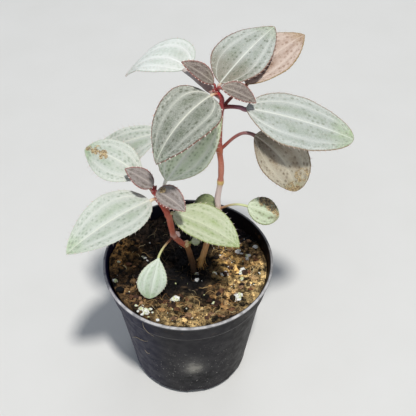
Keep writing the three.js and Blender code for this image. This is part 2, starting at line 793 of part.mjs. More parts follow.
// From inside the stem, through the petiole, and on as a rib under the blade
function petioleGeometry(leaf, stations) {
  const large = leaf.length > LARGE_LEAF;
  const radius = large ? PETIOLE_RADIUS : YOUNG_PETIOLE_RADIUS;
  const node = new THREE.Vector3(...leaf.node);
  const base = new THREE.Vector3(...leaf.base);
  const out = base.clone().sub(node).setZ(0).normalize();
  const reach = node.distanceTo(base);
  const leave = out.clone()
    .multiplyScalar(Math.cos(leaf.leave * DEG))
    .addScaledVector(UP, Math.sin(leaf.leave * DEG));
  const into = direction(leaf.heading, leaf.rise);
  const curve = new THREE.CubicBezierCurve3(
    node,
    node.clone().addScaledVector(leave, reach * PETIOLE_PULL),
    base.clone().addScaledVector(into, -reach * PETIOLE_PULL),
    base,
  );
  const points = curve.getPoints(PETIOLE_STEPS);
  const radii = points.map(() => radius);
  for (const share of RIB_STEPS) {
    const { point, up } = stationAt(stations, share * RIB_REACH);
    points.push(point.addScaledVector(up, -LEAF_THICK * 0.5 - VEIN_DEPTH * share));
    radii.push(radius * (1 - 0.6 * share));
  }
  return bar(points, radii, PETIOLE_SIDES);
}

const stemRoom = { tall: tallStem(GROWN), short: shortStem(GROWN) };

// Blade and petiole in one, cut back to clear the stem's skin
function buildLeaf(leaf) {
  const stations = midribStations(leaf);
  const blade = toManifold(bladeGeometry(leaf, stations));
  const petiole = toManifold(petioleGeometry(leaf, stations));
  return toGeometry(largest(blade.add(petiole).subtract(stemRoom[leaf.stem])));
}

// The whole plant

const plant = new THREE.Group();
plant.name = "potted_arthrostemma";
plant.add(meshOf("pot", buildPot(), COLOURS.pot, 0.45));
plant.add(meshOf("soil", buildSoil(), COLOURS.soil, 0.95));
PERLITE.forEach((spec, k) => {
  const name = `perlite_${String(k + 1).padStart(2, "0")}`;
  plant.add(meshOf(name, grain(spec, k + 1, 0), COLOURS.perlite, 0.9));
});
plant.add(meshOf("tall_stem", toGeometry(tallStem(0)), COLOURS.tall_stem, 0.6));
plant.add(meshOf("short_stem", toGeometry(shortStem(0)), COLOURS.short_stem, 0.6));
for (const leaf of LEAVES) {
  plant.add(meshOf(leaf.name, buildLeaf(leaf), leaf.colour, 0.65));
}

export default plant;
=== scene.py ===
import math

import bpy
import numpy as np
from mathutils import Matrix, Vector


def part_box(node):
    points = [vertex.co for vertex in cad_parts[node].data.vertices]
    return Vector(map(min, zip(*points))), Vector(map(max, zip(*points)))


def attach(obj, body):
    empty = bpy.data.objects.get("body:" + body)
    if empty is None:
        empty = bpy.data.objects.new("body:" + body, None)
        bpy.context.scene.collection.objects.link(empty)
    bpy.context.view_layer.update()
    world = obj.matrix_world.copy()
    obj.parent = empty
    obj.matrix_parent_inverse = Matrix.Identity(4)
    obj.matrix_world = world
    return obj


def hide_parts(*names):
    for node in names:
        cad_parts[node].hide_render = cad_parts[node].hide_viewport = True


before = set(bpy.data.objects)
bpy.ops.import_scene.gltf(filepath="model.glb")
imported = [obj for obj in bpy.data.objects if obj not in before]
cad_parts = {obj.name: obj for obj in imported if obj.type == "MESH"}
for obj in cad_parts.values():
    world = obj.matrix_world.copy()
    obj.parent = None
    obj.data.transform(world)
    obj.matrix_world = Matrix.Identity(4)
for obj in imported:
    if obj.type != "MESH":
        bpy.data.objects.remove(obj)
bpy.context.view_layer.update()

# Lengths are in millimetres until a mesh is written. Places inside a material are in metres.
MM = 0.001

# Camera: the photo's view, worked out from the pot's rim and foot
CAMERA_TARGET = (10.5, 0.0, 119.3)
CAMERA_DISTANCE = 410.0
CAMERA_ELEVATION = 46.0
FOCAL_PIXELS = 829.0
FRAME_PIXELS = 416.0
SENSOR = 36.0

# Pot
POT_HEIGHT = 80.0
RIM_RADIUS = 45.0
COLLAR_TOP_RADIUS = 43.6
COLLAR_FOOT_RADIUS = 42.3
COLLAR_FOOT_Z = 67.0
STEP_RADIUS = 40.8
STEP_Z = 66.2
FOOT_RADIUS = 32.6
FOOT_ROUND = 5.0
WALL = 1.2
FLOOR = 1.8
SLOT_COUNT = 8
SLOT_TURN = 7.0
SLOT_SIZE = (12.0, 8.5, 4.5)
SLOT_CORNER = 1.4
WALL_SWING = 0.16
RIM_NICKS = 0.07

# Soil
SOIL_LEVEL = 73.4
SOIL_TILT_X = -0.035
SOIL_TILT_Y = -0.055
SOIL_LUMP = 1.5
SOIL_RADIUS = 41.7
RISE_LEFT = 2.6
RISE_RIGHT = 2.2
RISE_RING = 0.6
FIBRE_LIMIT = 40.2
CLOD_COUNT = 70
FLAKE_COUNT = 46
DUST_COUNT = 60

# Stems
TALL_STEM_ROOT = (6.6, 3.4, 44)
TALL_STEM = [
    (6.3, 1.9, 73), (10, 1, 92.6), (13, 1.2, 110.8), (15.4, 1.5, 117), (15.2, 1.8, 124), (16.5, 2.4, 135.3),
    (16.7, 3, 145.6), (15.9, 3.4, 154.7), (15.8, 4.2, 169.3), (16.4, 4.6, 179.4), (16.5, 4.8, 184.3),
    (14.2, 5, 188),
]
OLD_STEM_ROOT = (2.6, -3.6, 44)
OLD_STEM = [(3.1, -2.1, 73), (1.1, -1.2, 85.2), (-0.9, -1.1, 94.4)]
SHORT_STEM = [
    (-0.4, -1, 91.8), (-3.6, -1.8, 96), (-6.8, -2.5, 101.8), (-9, -5, 119.5), (-13.1, -7, 132.7),
    (-14.9, -8.2, 139.6),
]
STEM_RADIUS = 1.45
OLD_STEM_RADIUS = 1.5
NODE_SWELL = 0.35
NODE_REACH = 2.2

# Leaves: veins run at shares of the half width and have a strength each
SIDE_VEIN = 0.61
VEINS = ((0.0, 1.0), (SIDE_VEIN, 0.75), (-SIDE_VEIN, 0.75), (0.87, 0.25), (-0.87, 0.25))
BLADE_THICK = 0.42
LEAST_THICK = 0.22
QUILT_HEIGHT = 0.3
VEIN_DEPTH = 0.3
RIB_HEIGHT = 0.42
PIT_DEPTH = 0.13
PIT_GAPS = 0.16
LADDER_HEIGHT = 0.05
LADDER_STEP = 2.3
PORE_HEIGHT = 0.03
WAVE_HEIGHT = 0.22
BASE_HALF_WIDTH = 0.7
TIP_HALF_WIDTH = 0.08
ROW_STEP = 0.36
COLUMN_STEP = 0.42
ROW_BUNCHING = 0.3
COLUMN_BUNCHING = 0.12
LARGE_LEAF = 30.0
# Teeth: place of the tip along a tooth, shift of the left edge's teeth, reach outward,
# and the margin's length for each length of the midrib
TOOTH_STEEP = 0.72
TOOTH_SHIFT = 0.37
TOOTH_REACH = 0.32
MARGIN_RUN = 1.08


def rgb(code):
    """Linear colour of a screen colour given as six hexadecimal digits"""
    screen = np.array([int(code[k:k + 2], 16) for k in (0, 2, 4)]) / 255.0
    return np.append(np.where(screen <= 0.04045, screen / 12.92, ((screen + 0.055) / 1.055) ** 2.4), 1.0)


def unit(vectors):
    return vectors / np.maximum(np.linalg.norm(vectors, axis=-1, keepdims=True), 1e-9)


def smoothstep(low, high, value):
    x = np.clip((np.asarray(value, float) - low) / (high - low), 0, 1)
    return x * x * (3 - 2 * x)


def turns(count):
    """Angles spread evenly over a full turn"""
    return np.linspace(0, 2 * math.pi, count, endpoint=False)


def polar(radius, angle):
    return radius * np.cos(angle), radius * np.sin(angle)


def lattice(ix, iy, iz, seed):
    """Repeatable values from 0 to 1 at whole-number places"""
    mixed = ix * 374761393 + iy * 668265263 + iz * 2147483647 + seed * 1274126177
    mixed = (mixed ^ (mixed >> 13)) * 1274126177
    mixed &= 0xFFFFFFFF
    mixed = (mixed ^ (mixed >> 16)) & 0xFFFFFF
    return mixed / float(0xFFFFFF)


def noise(points, size, seed=0, octaves=1):
    """Smooth values from -1 to 1; size is the width of the largest lumps"""
    total, weight, gain = np.zeros(points.shape[:-1]), 0.0, 1.0
    for octave in range(octaves):
        place = points * (2 ** octave) / size + 97.3
        cell = np.floor(place).astype(np.int64)
        part = smoothstep(0, 1, place - cell)
        value = np.zeros(points.shape[:-1])
        for corner in range(8):
            offset = np.array([(corner >> axis) & 1 for axis in range(3)])
            share = np.prod(np.where(offset == 1, part, 1 - part), axis=-1)
            at = cell + offset
            value += share * lattice(at[..., 0], at[..., 1], at[..., 2], seed + octave)
        total += gain * (2 * value - 1)
        weight += gain
        gain *= 0.5
    return total / weight


class Shape:
    """Collects points, faces and values at points, then becomes one mesh object"""

    def __init__(self):
        self.points, self.faces, self.values, self.count = [], [], {}, 0

    def add(self, points, faces, material=0, smooth=True, **values):
        """faces is a list of blocks; material is one slot, or one for each block"""
        points = np.asarray(points, float).reshape(-1, 3)
        self.points.append(points)
        for block, slot in zip(faces, np.broadcast_to(material, len(faces))):
            self.faces.append((block + self.count, slot, smooth))
        for name, value in values.items():
            self.values.setdefault(name, []).append((self.count, value.reshape(len(points), -1)))
        self.count += len(points)

    def build(self, name, materials):
        mesh = bpy.data.meshes.new(name)
        points = np.concatenate(self.points) * MM
        blocks, slots, smooth = zip(*self.faces)
        counts = [len(block) for block in blocks]
        corners = np.concatenate([block.ravel() for block in blocks])
        sizes = np.repeat([block.shape[1] for block in blocks], counts)
        mesh.vertices.add(len(points))
        mesh.vertices.foreach_set("co", points.ravel())
        mesh.loops.add(len(corners))
        mesh.loops.foreach_set("vertex_index", corners)
        mesh.polygons.add(len(sizes))
        mesh.polygons.foreach_set("loop_start", np.cumsum(sizes) - sizes)
        mesh.polygons.foreach_set("loop_total", sizes)
        mesh.polygons.foreach_set("material_index", np.repeat(slots, counts))
        mesh.polygons.foreach_set("use_smooth", np.repeat(smooth, counts))
        for key, parts in self.values.items():
            data = np.zeros((len(points), parts[0][1].shape[1]))
            for start, value in parts:
                data[start:start + len(value)] = value
            kind, field = ("FLOAT", "value") if data.shape[1] == 1 else ("FLOAT_COLOR", "color")
            mesh.attributes.new(key, kind, "POINT").data.foreach_set(field, data.ravel())
        for material in materials:
            mesh.materials.append(material)
        mesh.validate()
        mesh.update()
        piece = bpy.data.objects.new(name, mesh)
        bpy.context.scene.collection.objects.link(piece)
        return piece


def dress(piece, slot, *nodes):
    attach(piece, "root")
    if nodes:
        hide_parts(*nodes)


def grid_faces(rows, columns, closed=False):
    """Quads of a grid of points; closed joins the last column to the first"""
    low = np.arange(rows - 1)[:, None] * columns
    column = np.arange(columns if closed else columns - 1)
    after, high = (column + 1) % columns, low + columns
    return np.stack([low + column, low + after, high + after, high + column], axis=-1).reshape(-1, 4)


def closed_faces(rows, sides, flip=False):
    """Rings of points as a tube, with both ends closed round two points that follow the rings"""
    k = np.arange(sides)
    after, base = (k + 1) % sides, (rows - 1) * sides
    first = np.stack([np.full(sides, rows * sides), after, k], axis=-1)
    last = np.stack([np.full(sides, rows * sides + 1), base + k, base + after], axis=-1)
    blocks = [grid_faces(rows, sides, closed=True), first, last]
    return [block[:, ::-1] for block in blocks] if flip else blocks


def frames_along(path):
    """Direction, side and upward vectors along a path, carried without twist"""
    along = unit(np.gradient(path, axis=0))
    helper = np.array([1.0, 0, 0]) if abs(along[0][2]) > 0.9 else np.array([0, 0, 1.0])
    side = unit(np.cross(along[0], helper))
    sides = []
    for direction in along:
        side = unit(side - direction * np.dot(side, direction))
        sides.append(side)
    return along, np.array(sides), np.cross(along, sides)


def tube(shape, path, radii, sides, tint, material=0, wobble=1.0):
    """Round bar with closed ends; wobble changes the radius at (row, side)"""
    along, side, across = frames_along(path)
    cosine, sine = polar(1.0, turns(sides)[:, None])
    radius = radii[:, None] * np.ones(sides) * wobble
    rings = path[:, None] + (side[:, None] * cosine + across[:, None] * sine) * radius[..., None]
    ends = [path[0] - along[0] * radii[0] * 0.3, path[-1] + along[-1] * radii[-1] * 0.3]
    tint = np.broadcast_to(tint, (len(path), 4))
    tint = np.concatenate([np.repeat(tint, sides, axis=0), tint[[0, -1]]])
    points = np.concatenate([rings.reshape(-1, 3), ends])
    shape.add(points, closed_faces(len(path), sides), material, tint=tint)


def smooth_path(path, per_step):
    """Centripetal curve through the given points"""
    def blend(a, b, low, high, at):
        return (high - at) / (high - low) * a + (at - low) / (high - low) * b

    path = np.asarray(path, float)
    padded = np.concatenate([[2 * path[0] - path[1]], path, [2 * path[-1] - path[-2]]])
    curve = []
    for k in range(1, len(padded) - 2):
        p = padded[k - 1:k + 3]
        t = np.append(0, np.cumsum(np.linalg.norm(np.diff(p, axis=0), axis=1) ** 0.5))
        for step in range(per_step):
            at = t[1] + (t[2] - t[1]) * step / per_step
            a = [blend(p[j], p[j + 1], t[j], t[j + 1], at) for j in range(3)]
            b = [blend(a[j], a[j + 1], t[j], t[j + 2], at) for j in range(2)]
            curve.append(blend(b[0], b[1], t[1], t[2], at))
    return np.array(curve + [path[-1]])


def bristles(shape, roots, directions, lengths, radius):
    """Thin three-sided cones"""
    directions = unit(directions)
    helper = np.where(np.abs(directions[:, 2:]) > 0.9, [1.0, 0, 0], [0, 0, 1.0])
    side = unit(np.cross(directions, helper))
    across = np.cross(directions, side)
    feet = [radius * (side * math.cos(a) + across * math.sin(a)) - directions * 0.1 for a in turns(3)]
    points = roots[:, None] + np.stack(feet + [directions * lengths[:, None]], axis=1)
    start = np.arange(len(roots))[:, None, None] * 4
    shape.add(points, [(start + [[0, 1, 3], [1, 2, 3], [2, 0, 3], [0, 2, 1]]).reshape(-1, 3)])


def icosphere(level):
    """Points on the unit sphere and their triangles"""
    golden = (1 + 5 ** 0.5) / 2
    points = [unit(np.roll((a, b, 0.0), shift))
              for shift in range(3) for b in (golden, -golden) for a in (-1, 1)]
    faces = [(0, 11, 5), (0, 5, 1), (0, 1, 7), (0, 7, 10), (0, 10, 11),
             (1, 5, 9), (5, 11, 4), (11, 10, 2), (10, 7, 6), (7, 1, 8),
             (3, 9, 4), (3, 4, 2), (3, 2, 6), (3, 6, 8), (3, 8, 9),
             (4, 9, 5), (2, 4, 11), (6, 2, 10), (8, 6, 7), (9, 8, 1)]
    for _ in range(level):
        middle, finer = {}, []

        def between(a, b):
            key = (min(a, b), max(a, b))
            if key not in middle:
                middle[key] = len(points)
                points.append(unit(points[a] + points[b]))
            return middle[key]

        for a, b, c in faces:
            ab, bc, ca = between(a, b), between(b, c), between(c, a)
            finer += [(a, ab, ca), (b, bc, ab), (c, ca, bc), (ab, bc, ca)]
        faces = finer
    return np.array(points), np.array(faces)


SPHERES = [icosphere(level) for level in range(3)]


def lumps(shape, centres, radii, level, rough, seed, squash=1.0, material=0, smooth=True, tint=None):
    """Uneven round bodies, one for each centre"""
    ball, faces = SPHERES[level]
    count = len(centres)
    rng = np.random.default_rng(seed)
    turned = []
    for _ in range(count):
        basis = np.linalg.qr(rng.normal(size=(3, 3)))[0]
        if np.linalg.det(basis) < 0:
            basis[:, 0] = -basis[:, 0]
        turned.append(ball @ basis.T)
    turned = np.array(turned)
    bumps = 1 + rough * noise(turned * 1.6 + np.arange(count)[:, None, None] * 7.1, 1.0, seed, 2)
    stretch = np.broadcast_to(squash, (count, 3))[:, None]
    size = np.reshape(radii, (count, 1, -1))
    points = np.reshape(centres, (count, 1, 3)) + turned * stretch * size * bumps[..., None]
    start = np.arange(count)[:, None, None] * len(ball)
    values = {} if tint is None else {"tint": np.repeat(tint, len(ball), axis=0)}
    shape.add(points, [(faces + start).reshape(-1, 3)], material, smooth, **values)


# Materials


class Nodes:
    """Short calls for a material's node tree; paint lays a colour over the one so far"""

    def __init__(self, name, specular, sheen=0.0):
        self.material = bpy.data.materials.new(name)
        self.material.use_nodes = True
        self.tree = self.material.node_tree
        self.shader = self.tree.nodes["Principled BSDF"]
        self.shader.inputs["Specular IOR Level"].default_value = specular
        self.shader.inputs["Sheen Weight"].default_value = sheen
        self.place = self.tree.nodes.new("ShaderNodeTexCoord").outputs["Object"]
        self.colour = None

    def put(self, socket, value):
        if isinstance(value, bpy.types.NodeSocket):
            self.tree.links.new(value, socket)
        else:
            socket.default_value = value

    def node(self, kind, inputs, output, **settings):
        """One node with its settings and inputs; returns the named output"""
        node = self.tree.nodes.new("ShaderNode" + kind)
        for name, value in settings.items():
            setattr(node, name, value)
        for name, value in inputs.items():
            self.put(node.inputs[name], value)
        return node.outputs[output]

    def attribute(self, name, output="Fac"):
        return self.node("Attribute", {}, output, attribute_name=name)

    def stretched(self, scale):
        return self.node("Mapping", {"Vector": self.place, "Scale": scale}, "Vector")

    def noise(self, size, detail=3.0, rough=0.5, vector=None):
        """size is the width of the lumps in millimetres"""
        inputs = dict(Vector=vector or self.place, Scale=1.0 / (size * MM), Detail=detail, Roughness=rough)
        return self.node("TexNoise", inputs, "Fac")

    def cells(self, size):
        return self.node("TexVoronoi", {"Vector": self.place, "Scale": 1.0 / (size * MM)}, "Distance")

    def math(self, operation, a, b=0.0):
        return self.node("Math", {0: a, 1: b}, "Value", operation=operation)

    def times(self, a, b):
        return self.math("MULTIPLY", a, b)

    def plus(self, a, b):
        return self.math("ADD", a, b)

    def off(self, value, middle):
        """How far a value is from the middle, either way"""
        return self.math("ABSOLUTE", self.math("SUBTRACT", value, middle))

    def away(self, centre, spread):
        """Distance from a place in metres, after stretching both by the spread"""
        inputs = {0: self.stretched(spread), 1: [a * b for a, b in zip(centre, spread)]}
        return self.node("VectorMath", inputs, "Value", operation="DISTANCE")

    def between(self, value, low, high, most=1.0, least=0.0):
        """Maps low..high of value to least..most, eased and clamped"""
        inputs = {"Value": value, "From Min": low, "From Max": high, "To Min": least, "To Max": most}
        return self.node("MapRange", inputs, "Result", interpolation_type="SMOOTHSTEP")

    def mix(self, factor, a, b, blend="MIX"):
        return self.node("Mix", {"Factor": factor, 6: a, 7: b}, 2, data_type="RGBA", blend_type=blend)

    def paint(self, over, factor):
        self.colour = self.mix(factor, self.colour, over)

    def bump(self, height, depth):
        """depth is the height of the relief in millimetres"""
        return self.node("Bump", {"Strength": 1.0, "Distance": depth * MM, "Height": height}, "Normal")

    def finish(self, roughness, normal=None):
        self.put(self.shader.inputs["Base Color"], self.colour)
        self.put(self.shader.inputs["Roughness"], roughness)
        if normal is not None:
            self.put(self.shader.inputs["Normal"], normal)
        return self.material


# Colours of a leaf: beside its veins, away from them, on them, in the pits, on the edge,
# at the tip and on the underside
LOOKS = {
    "white": "f0f4ee d4ded2 f6f8f3 cad4c6 c4cebe d6ded0 966886",
    "silver": "b5b9b3 8c9585 e2e5da 5c6650 805442 9cae82 804654",
    "grey": "96998f 6a725f e2e3d4 4a5038 744230 b0bea4 7c3c42",
    "mint": "cacfc7 a8b6a0 e0e4d6 909e8a ccd2c2 a4c08c a08084",
    "spring": "d6e0d0 acc89e e0e8da b0c4a6 c4ceb0 b2ce9c a08084",
    # painted light: brightened past the leaf's own colour, for a leaf that lies in shadow
    "green": "dee6cc bace9e f4f6e8 84966c b0aa82 bace96 785454",
    "lime": "c2c9aa 9cb070 d0d8b8 869a64 96a260 a6b878 96966e",
    "mauve": "8c837f 706560 b8aea6 62564a 8e544c a4a29c 823a3e",
    "umber": "7a6d66 5c5048 b0a599 524438 8a4e44 968f83 823a3e",
    "frost": "bbc0bb 9aa594 e2e5da 868e7a 968068 98b472 804654",
    "tan": "d2beb0 96745c d8c8ba 92705a 967a42 a68658 884840",
    "tawny": "c2baa4 9c8a70 cec6b2 604e3a 7a6242 948e54 824a48",
    "olive": "808c60 58683a 8c986a 3e4c28 687646 60703e 6e6e46",
    "bronze": "c4d0b0 8a9e68 d4dcc2 564e2a 788448 7c6c3c 786842",
    "bud": "b08a7e 964644 ceaa9c 783c38 a43236 b84646 a83a3e",
}


def blade_material(look):
    """Upper face: pale along the veins, with pits, a coloured edge, a base tint that is partly painted shade,
    speckles, and scorched patches whose pale flecks are partly painted glints
    """
    pale, deep, ribbon, hollow, rim, end, _ = [rgb(code) for code in LOOKS[look].split()]
    n = Nodes("leaf_top_" + look, 0.42, 0.12)
    vein, edge, pit, tip, root, mark = [n.attribute(name) for name in FIELDS]
    patches, grain, pebble = n.noise(7.0, 3.0, 0.55), n.noise(0.55, 2.0, 0.6), n.noise(0.8, 2.0, 0.55)
    n.colour = n.mix(n.times(n.between(vein, 0.3, 3.6), n.between(patches, 0.3, 0.72, 1.0, 0.25)), pale, deep)
    n.paint(ribbon, n.between(vein, 1.7, 0.2, 0.28))
    n.paint(end, n.times(tip, n.between(patches, 0.35, 0.6, 1.0, 0.5)))
    n.paint(ribbon, n.between(grain, 0.36, 0.7, 0.2))
    n.paint(deep, n.between(grain, 0.48, 0.25, 0.22))
    # base tint: a tan, which on the low right leaf is painted shade under the leaf above
    n.paint(rgb("807864"), n.times(root, n.between(patches, 0.3, 0.6, 1.0, 0.8)))
    n.paint(ribbon, n.between(vein, 0.55, 0.1, 0.82))
    outer = n.between(edge, 4.5, 0.8, 0.4, 0.1)
    n.paint(ribbon, n.times(outer, n.between(pebble, 0.52, 0.68)))
    n.paint(deep, n.times(outer, n.between(pebble, 0.48, 0.34)))
    speck = n.times(pit, n.between(grain, 0.3, 0.6, 1.15, 0.8))
    n.paint(hollow, n.between(speck, 0.12, 0.9, 0.78))
    n.paint(rim, n.between(n.plus(edge, n.between(grain, 0.3, 0.7, 0.12, -0.12)), 0.7, 0.2, 0.9))
    # scorched patches: the pale flecks left in the charred middle are partly painted glints
    scorch_and_glints = n.mix(n.between(grain, 0.38, 0.6), rgb("684826"), rgb("ccb27e"))
    charred = n.times(n.between(mark, 0.7, 0.95), n.between(n.noise(1.2, 3.0, 0.6), 0.6, 0.42))
    scorched = n.times(mark, n.between(n.noise(2.4, 4.0, 0.65), 0.34, 0.6))
    n.paint(n.mix(charred, scorch_and_glints, rgb("2e2018")), n.between(scorched, 0.08, 0.55, 0.9))
    n.paint(rgb("f0f2ec"), n.between(n.noise(0.32, 1.0, 0.5), 0.66, 0.8, 0.45))
    relief = n.plus(n.times(n.cells(0.42), 0.6), grain)
    return n.finish(n.between(grain, 0.3, 0.7, 0.62, 0.44), n.bump(relief, 0.11))


def under_material(look):
    """Lower face, with paler veins"""
    _, deep, _, _, _, _, under = [rgb(code) for code in LOOKS[look].split()]
    n = Nodes("leaf_under_" + look, 0.4, 0.1)
    patches, grain = n.noise(5.0, 3.0, 0.6), n.noise(0.7, 2.0, 0.6)
    n.colour = n.mix(n.between(patches, 0.35, 0.68, 0.55), under, deep)
    n.paint(rgb("c4968c"), n.between(n.attribute("vein"), 0.7, 0.15, 0.6))
    n.paint(rgb("cebeba"), n.between(grain, 0.4, 0.7, 0.25))
    return n.finish(n.between(grain, 0.3, 0.7, 0.68, 0.5), n.bump(grain, 0.06))


def tinted_material(name, smoothest, roughest, streak, contrast, depth, specular=0.45):
    """Surface whose main colour is worked out along the piece, with streaks and grain"""
    n = Nodes(name, specular)
    tint = n.attribute("tint", "Color")
    streaks, grain = n.noise(1.1, 3.0, 0.6, n.stretched(streak)), n.noise(0.4, 2.0, 0.6)
    n.colour = tint
    n.paint(n.mix(1.0, tint, (0.52, 0.42, 0.4, 1), "MULTIPLY"), n.between(streaks, 0.5, 0.3, contrast))
    n.paint(n.mix(0.35, tint, rgb("e2bea8")), n.between(streaks, 0.55, 0.75, contrast))
    relief = n.plus(streaks, n.times(grain, 0.4))
    return n.finish(n.between(grain, 0.3, 0.7, roughest, smoothest), n.bump(relief, depth))


def bristle_material():
    n = Nodes("bristle", 0.5)
    grain = n.noise(0.9, 2.0)
    n.colour = n.mix(grain, rgb("f4eee6"), rgb("dec4bc"))
    return n.finish(0.35, n.bump(grain, 0.02))


def bead_material():
    n = Nodes("bead", 0.5)
    grain = n.noise(2.0, 2.0)
    n.colour = n.mix(n.between(grain, 0.42, 0.66), rgb("faeee4"), rgb("deb0a0"))
    return n.finish(0.3, n.bump(grain, 0.02))


def pot_material():
    """Charcoal plastic: painted shade across it, bluish at the left and brown-black at the right, with a
    painted sheen down the middle; pale along the rim from wear and a painted highlight; dusty and scratched
    """
    n = Nodes("pot_plastic", 0.13)
    axes = n.tree.nodes.new("ShaderNodeSeparateXYZ")
    n.put(axes.inputs[0], n.place)
    across, depth, height = axes.outputs
    cloud, grain, dust = n.noise(16.0, 4.0, 0.6), n.noise(0.8, 3.0, 0.6), n.noise(5.0, 5.0, 0.65)
    blot, dots = n.noise(2.6, 5.0, 0.7), n.noise(0.9, 1.0, 0.4)
    scratches = n.noise(0.5, 2.0, 0.5, n.stretched((0.05, 0.05, 1.0)))
    # painted shade: bluish at the left, brown-black at the right
    n.colour = n.mix(n.between(across, -0.03, 0.03), rgb("08081e"), rgb("110a09"))
    # painted sheen down the middle of the front
    n.paint(rgb("232125"), n.between(n.off(across, 0.002), 0.032, 0.008))
    # painted bluish shade at the front left
    n.paint(rgb("0c0e34"), n.times(n.between(across, -0.008, -0.03), n.between(depth, 0.02, -0.004)))
    n.paint(rgb("0f0f18"), n.between(cloud, 0.35, 0.7, 0.15))
    n.paint(rgb("464446"), n.between(dust, 0.56, 0.8, 0.12))
    # painted highlight: a pale spot at the front; painted shade: a dark patch below it, just above the slot;
    # and the specks round it
    ragged = n.between(blot, 0.3, 0.7, 0.0015, -0.0015)
    near = n.plus(n.away((0.003, -0.036, 0.0315), (1.3, 1.0, 0.8)), ragged)
    # painted highlight on the front
    n.paint(rgb("aaa7a0"), n.between(near, 0.015, 0.0, 0.2))
    n.paint(rgb("b0aca0"), n.between(near, 0.0075, 0.0005, 0.55))
    low = n.between(n.away((0.006, -0.034, 0.017), (1.0, 1.0, 1.0)), 0.014, 0.006)
    # painted shade on the wall just above the slot
    n.paint(rgb("020206"), n.times(low, n.between(blot, 0.62, 0.42)))
    wide = n.between(n.away((0.004, -0.036, 0.026), (1.0, 1.0, 0.8)), 0.03, 0.012)
    n.paint(rgb("b0aea8"), n.times(wide, n.between(dots, 0.7, 0.75, 0.8)))
    n.paint(rgb("060609"), n.times(wide, n.between(dots, 0.3, 0.25, 0.9)))
    n.paint(rgb("54535a"), n.between(scratches, 0.64, 0.76, 0.09))
    # a painted highlight along the step and painted shade under it
    step = n.off(height, (COLLAR_FOOT_Z - 0.1) * MM)
    # painted highlight along the step
    n.paint(rgb("706c6c"), n.between(step, 0.7 * MM, 0.1 * MM, 0.5))
    shade = n.times(n.between(height, 0.063, 0.0655), n.between(height, 0.0664, 0.066))
    n.paint(rgb("08080b"), n.times(shade, 0.8))
    earth = n.times(n.between(n.noise(3.6, 4.0, 0.65), 0.58, 0.72), n.between(height, 0.05, 0.079, 0.6))
    n.paint(rgb("5c442e"), earth)
    # the rim, pale on its outer edge from wear and a painted highlight, strongest at the front
    radius = n.away((0, 0, 0), (1.0, 1.0, 0.0))
    rim_lip_band = n.between(height, (POT_HEIGHT - 1.0) * MM, (POT_HEIGHT - 0.35) * MM)
    outer = n.between(radius, (RIM_RADIUS - 1.6) * MM, (RIM_RADIUS - 0.9) * MM)
    patchy = n.between(n.noise(5.0, 4.0, 0.6), 0.3, 0.62, 0.95, 0.4)
    front = n.between(depth, 0.012, -0.03, 1.0, 0.4)
    # painted highlight with wear along the rim
    n.paint(rgb("d0cece"), n.times(n.times(rim_lip_band, outer), n.times(patchy, front)))
    relief = n.plus(grain, n.times(scratches, 0.8))
    return n.finish(n.between(dust, 0.35, 0.7, 0.6, 0.42), n.bump(relief, 0.03))


def soil_material():
    n = Nodes("soil", 0.25)
    tint = n.attribute("tint", "Color")
    clumps, grain = n.noise(2.2, 4.0, 0.65), n.noise(0.5, 3.0, 0.65)
    n.colour = tint
    n.paint(n.mix(1.0, tint, (0.16, 0.15, 0.17, 1), "MULTIPLY"), n.between(clumps, 0.58, 0.4, 0.9))
    n.paint(n.mix(1.0, tint, (2.1, 2.1, 2.0, 1), "MULTIPLY"), n.between(grain, 0.52, 0.7, 0.7))
    n.paint(rgb("0e0c0d"), n.between(grain, 0.46, 0.3, 0.8))
    return n.finish(n.between(grain, 0.3, 0.7, 0.95, 0.72), n.bump(n.plus(grain, n.cells(0.9)), 0.35))


def perlite_material():
    n = Nodes("perlite", 0.35, 0.05)
    grain = n.noise(0.9, 4.0, 0.65)
    n.colour = n.mix(n.between(grain, 0.3, 0.6), rgb("cecec6"), rgb("fffffc"))
    n.paint(rgb("c8d080"), n.between(n.noise(2.6, 3.0, 0.6), 0.47, 0.62, 0.8))
    return n.finish(n.between(grain, 0.3, 0.7, 0.85, 0.6), n.bump(n.plus(n.cells(0.7), grain), 0.22))


# What is known at every point of a blade: how far the nearest vein and the edge are,
# and how much of a pit, of the tip's, of the base's (a tan, and on one leaf painted shade) and of a scorched
# colour it has
FIELDS = ("vein", "edge", "pit", "tip", "root", "mark")

BRISTLE = bristle_material()
BEAD = bead_material()
PETIOLE = tinted_material("petiole", 0.38, 0.55, (0.35, 0.35, 0.35), 0.3, 0.05)
STEM = tinted_material("stem", 0.36, 0.6, (0.7, 0.7, 0.16), 0.4, 0.12)
STRAW = tinted_material("straw", 0.6, 0.85, (0.5, 0.5, 0.5), 0.4, 0.08, 0.3)
SOIL = soil_material()
PERLITE = perlite_material()
FACES = {}


# Leaves


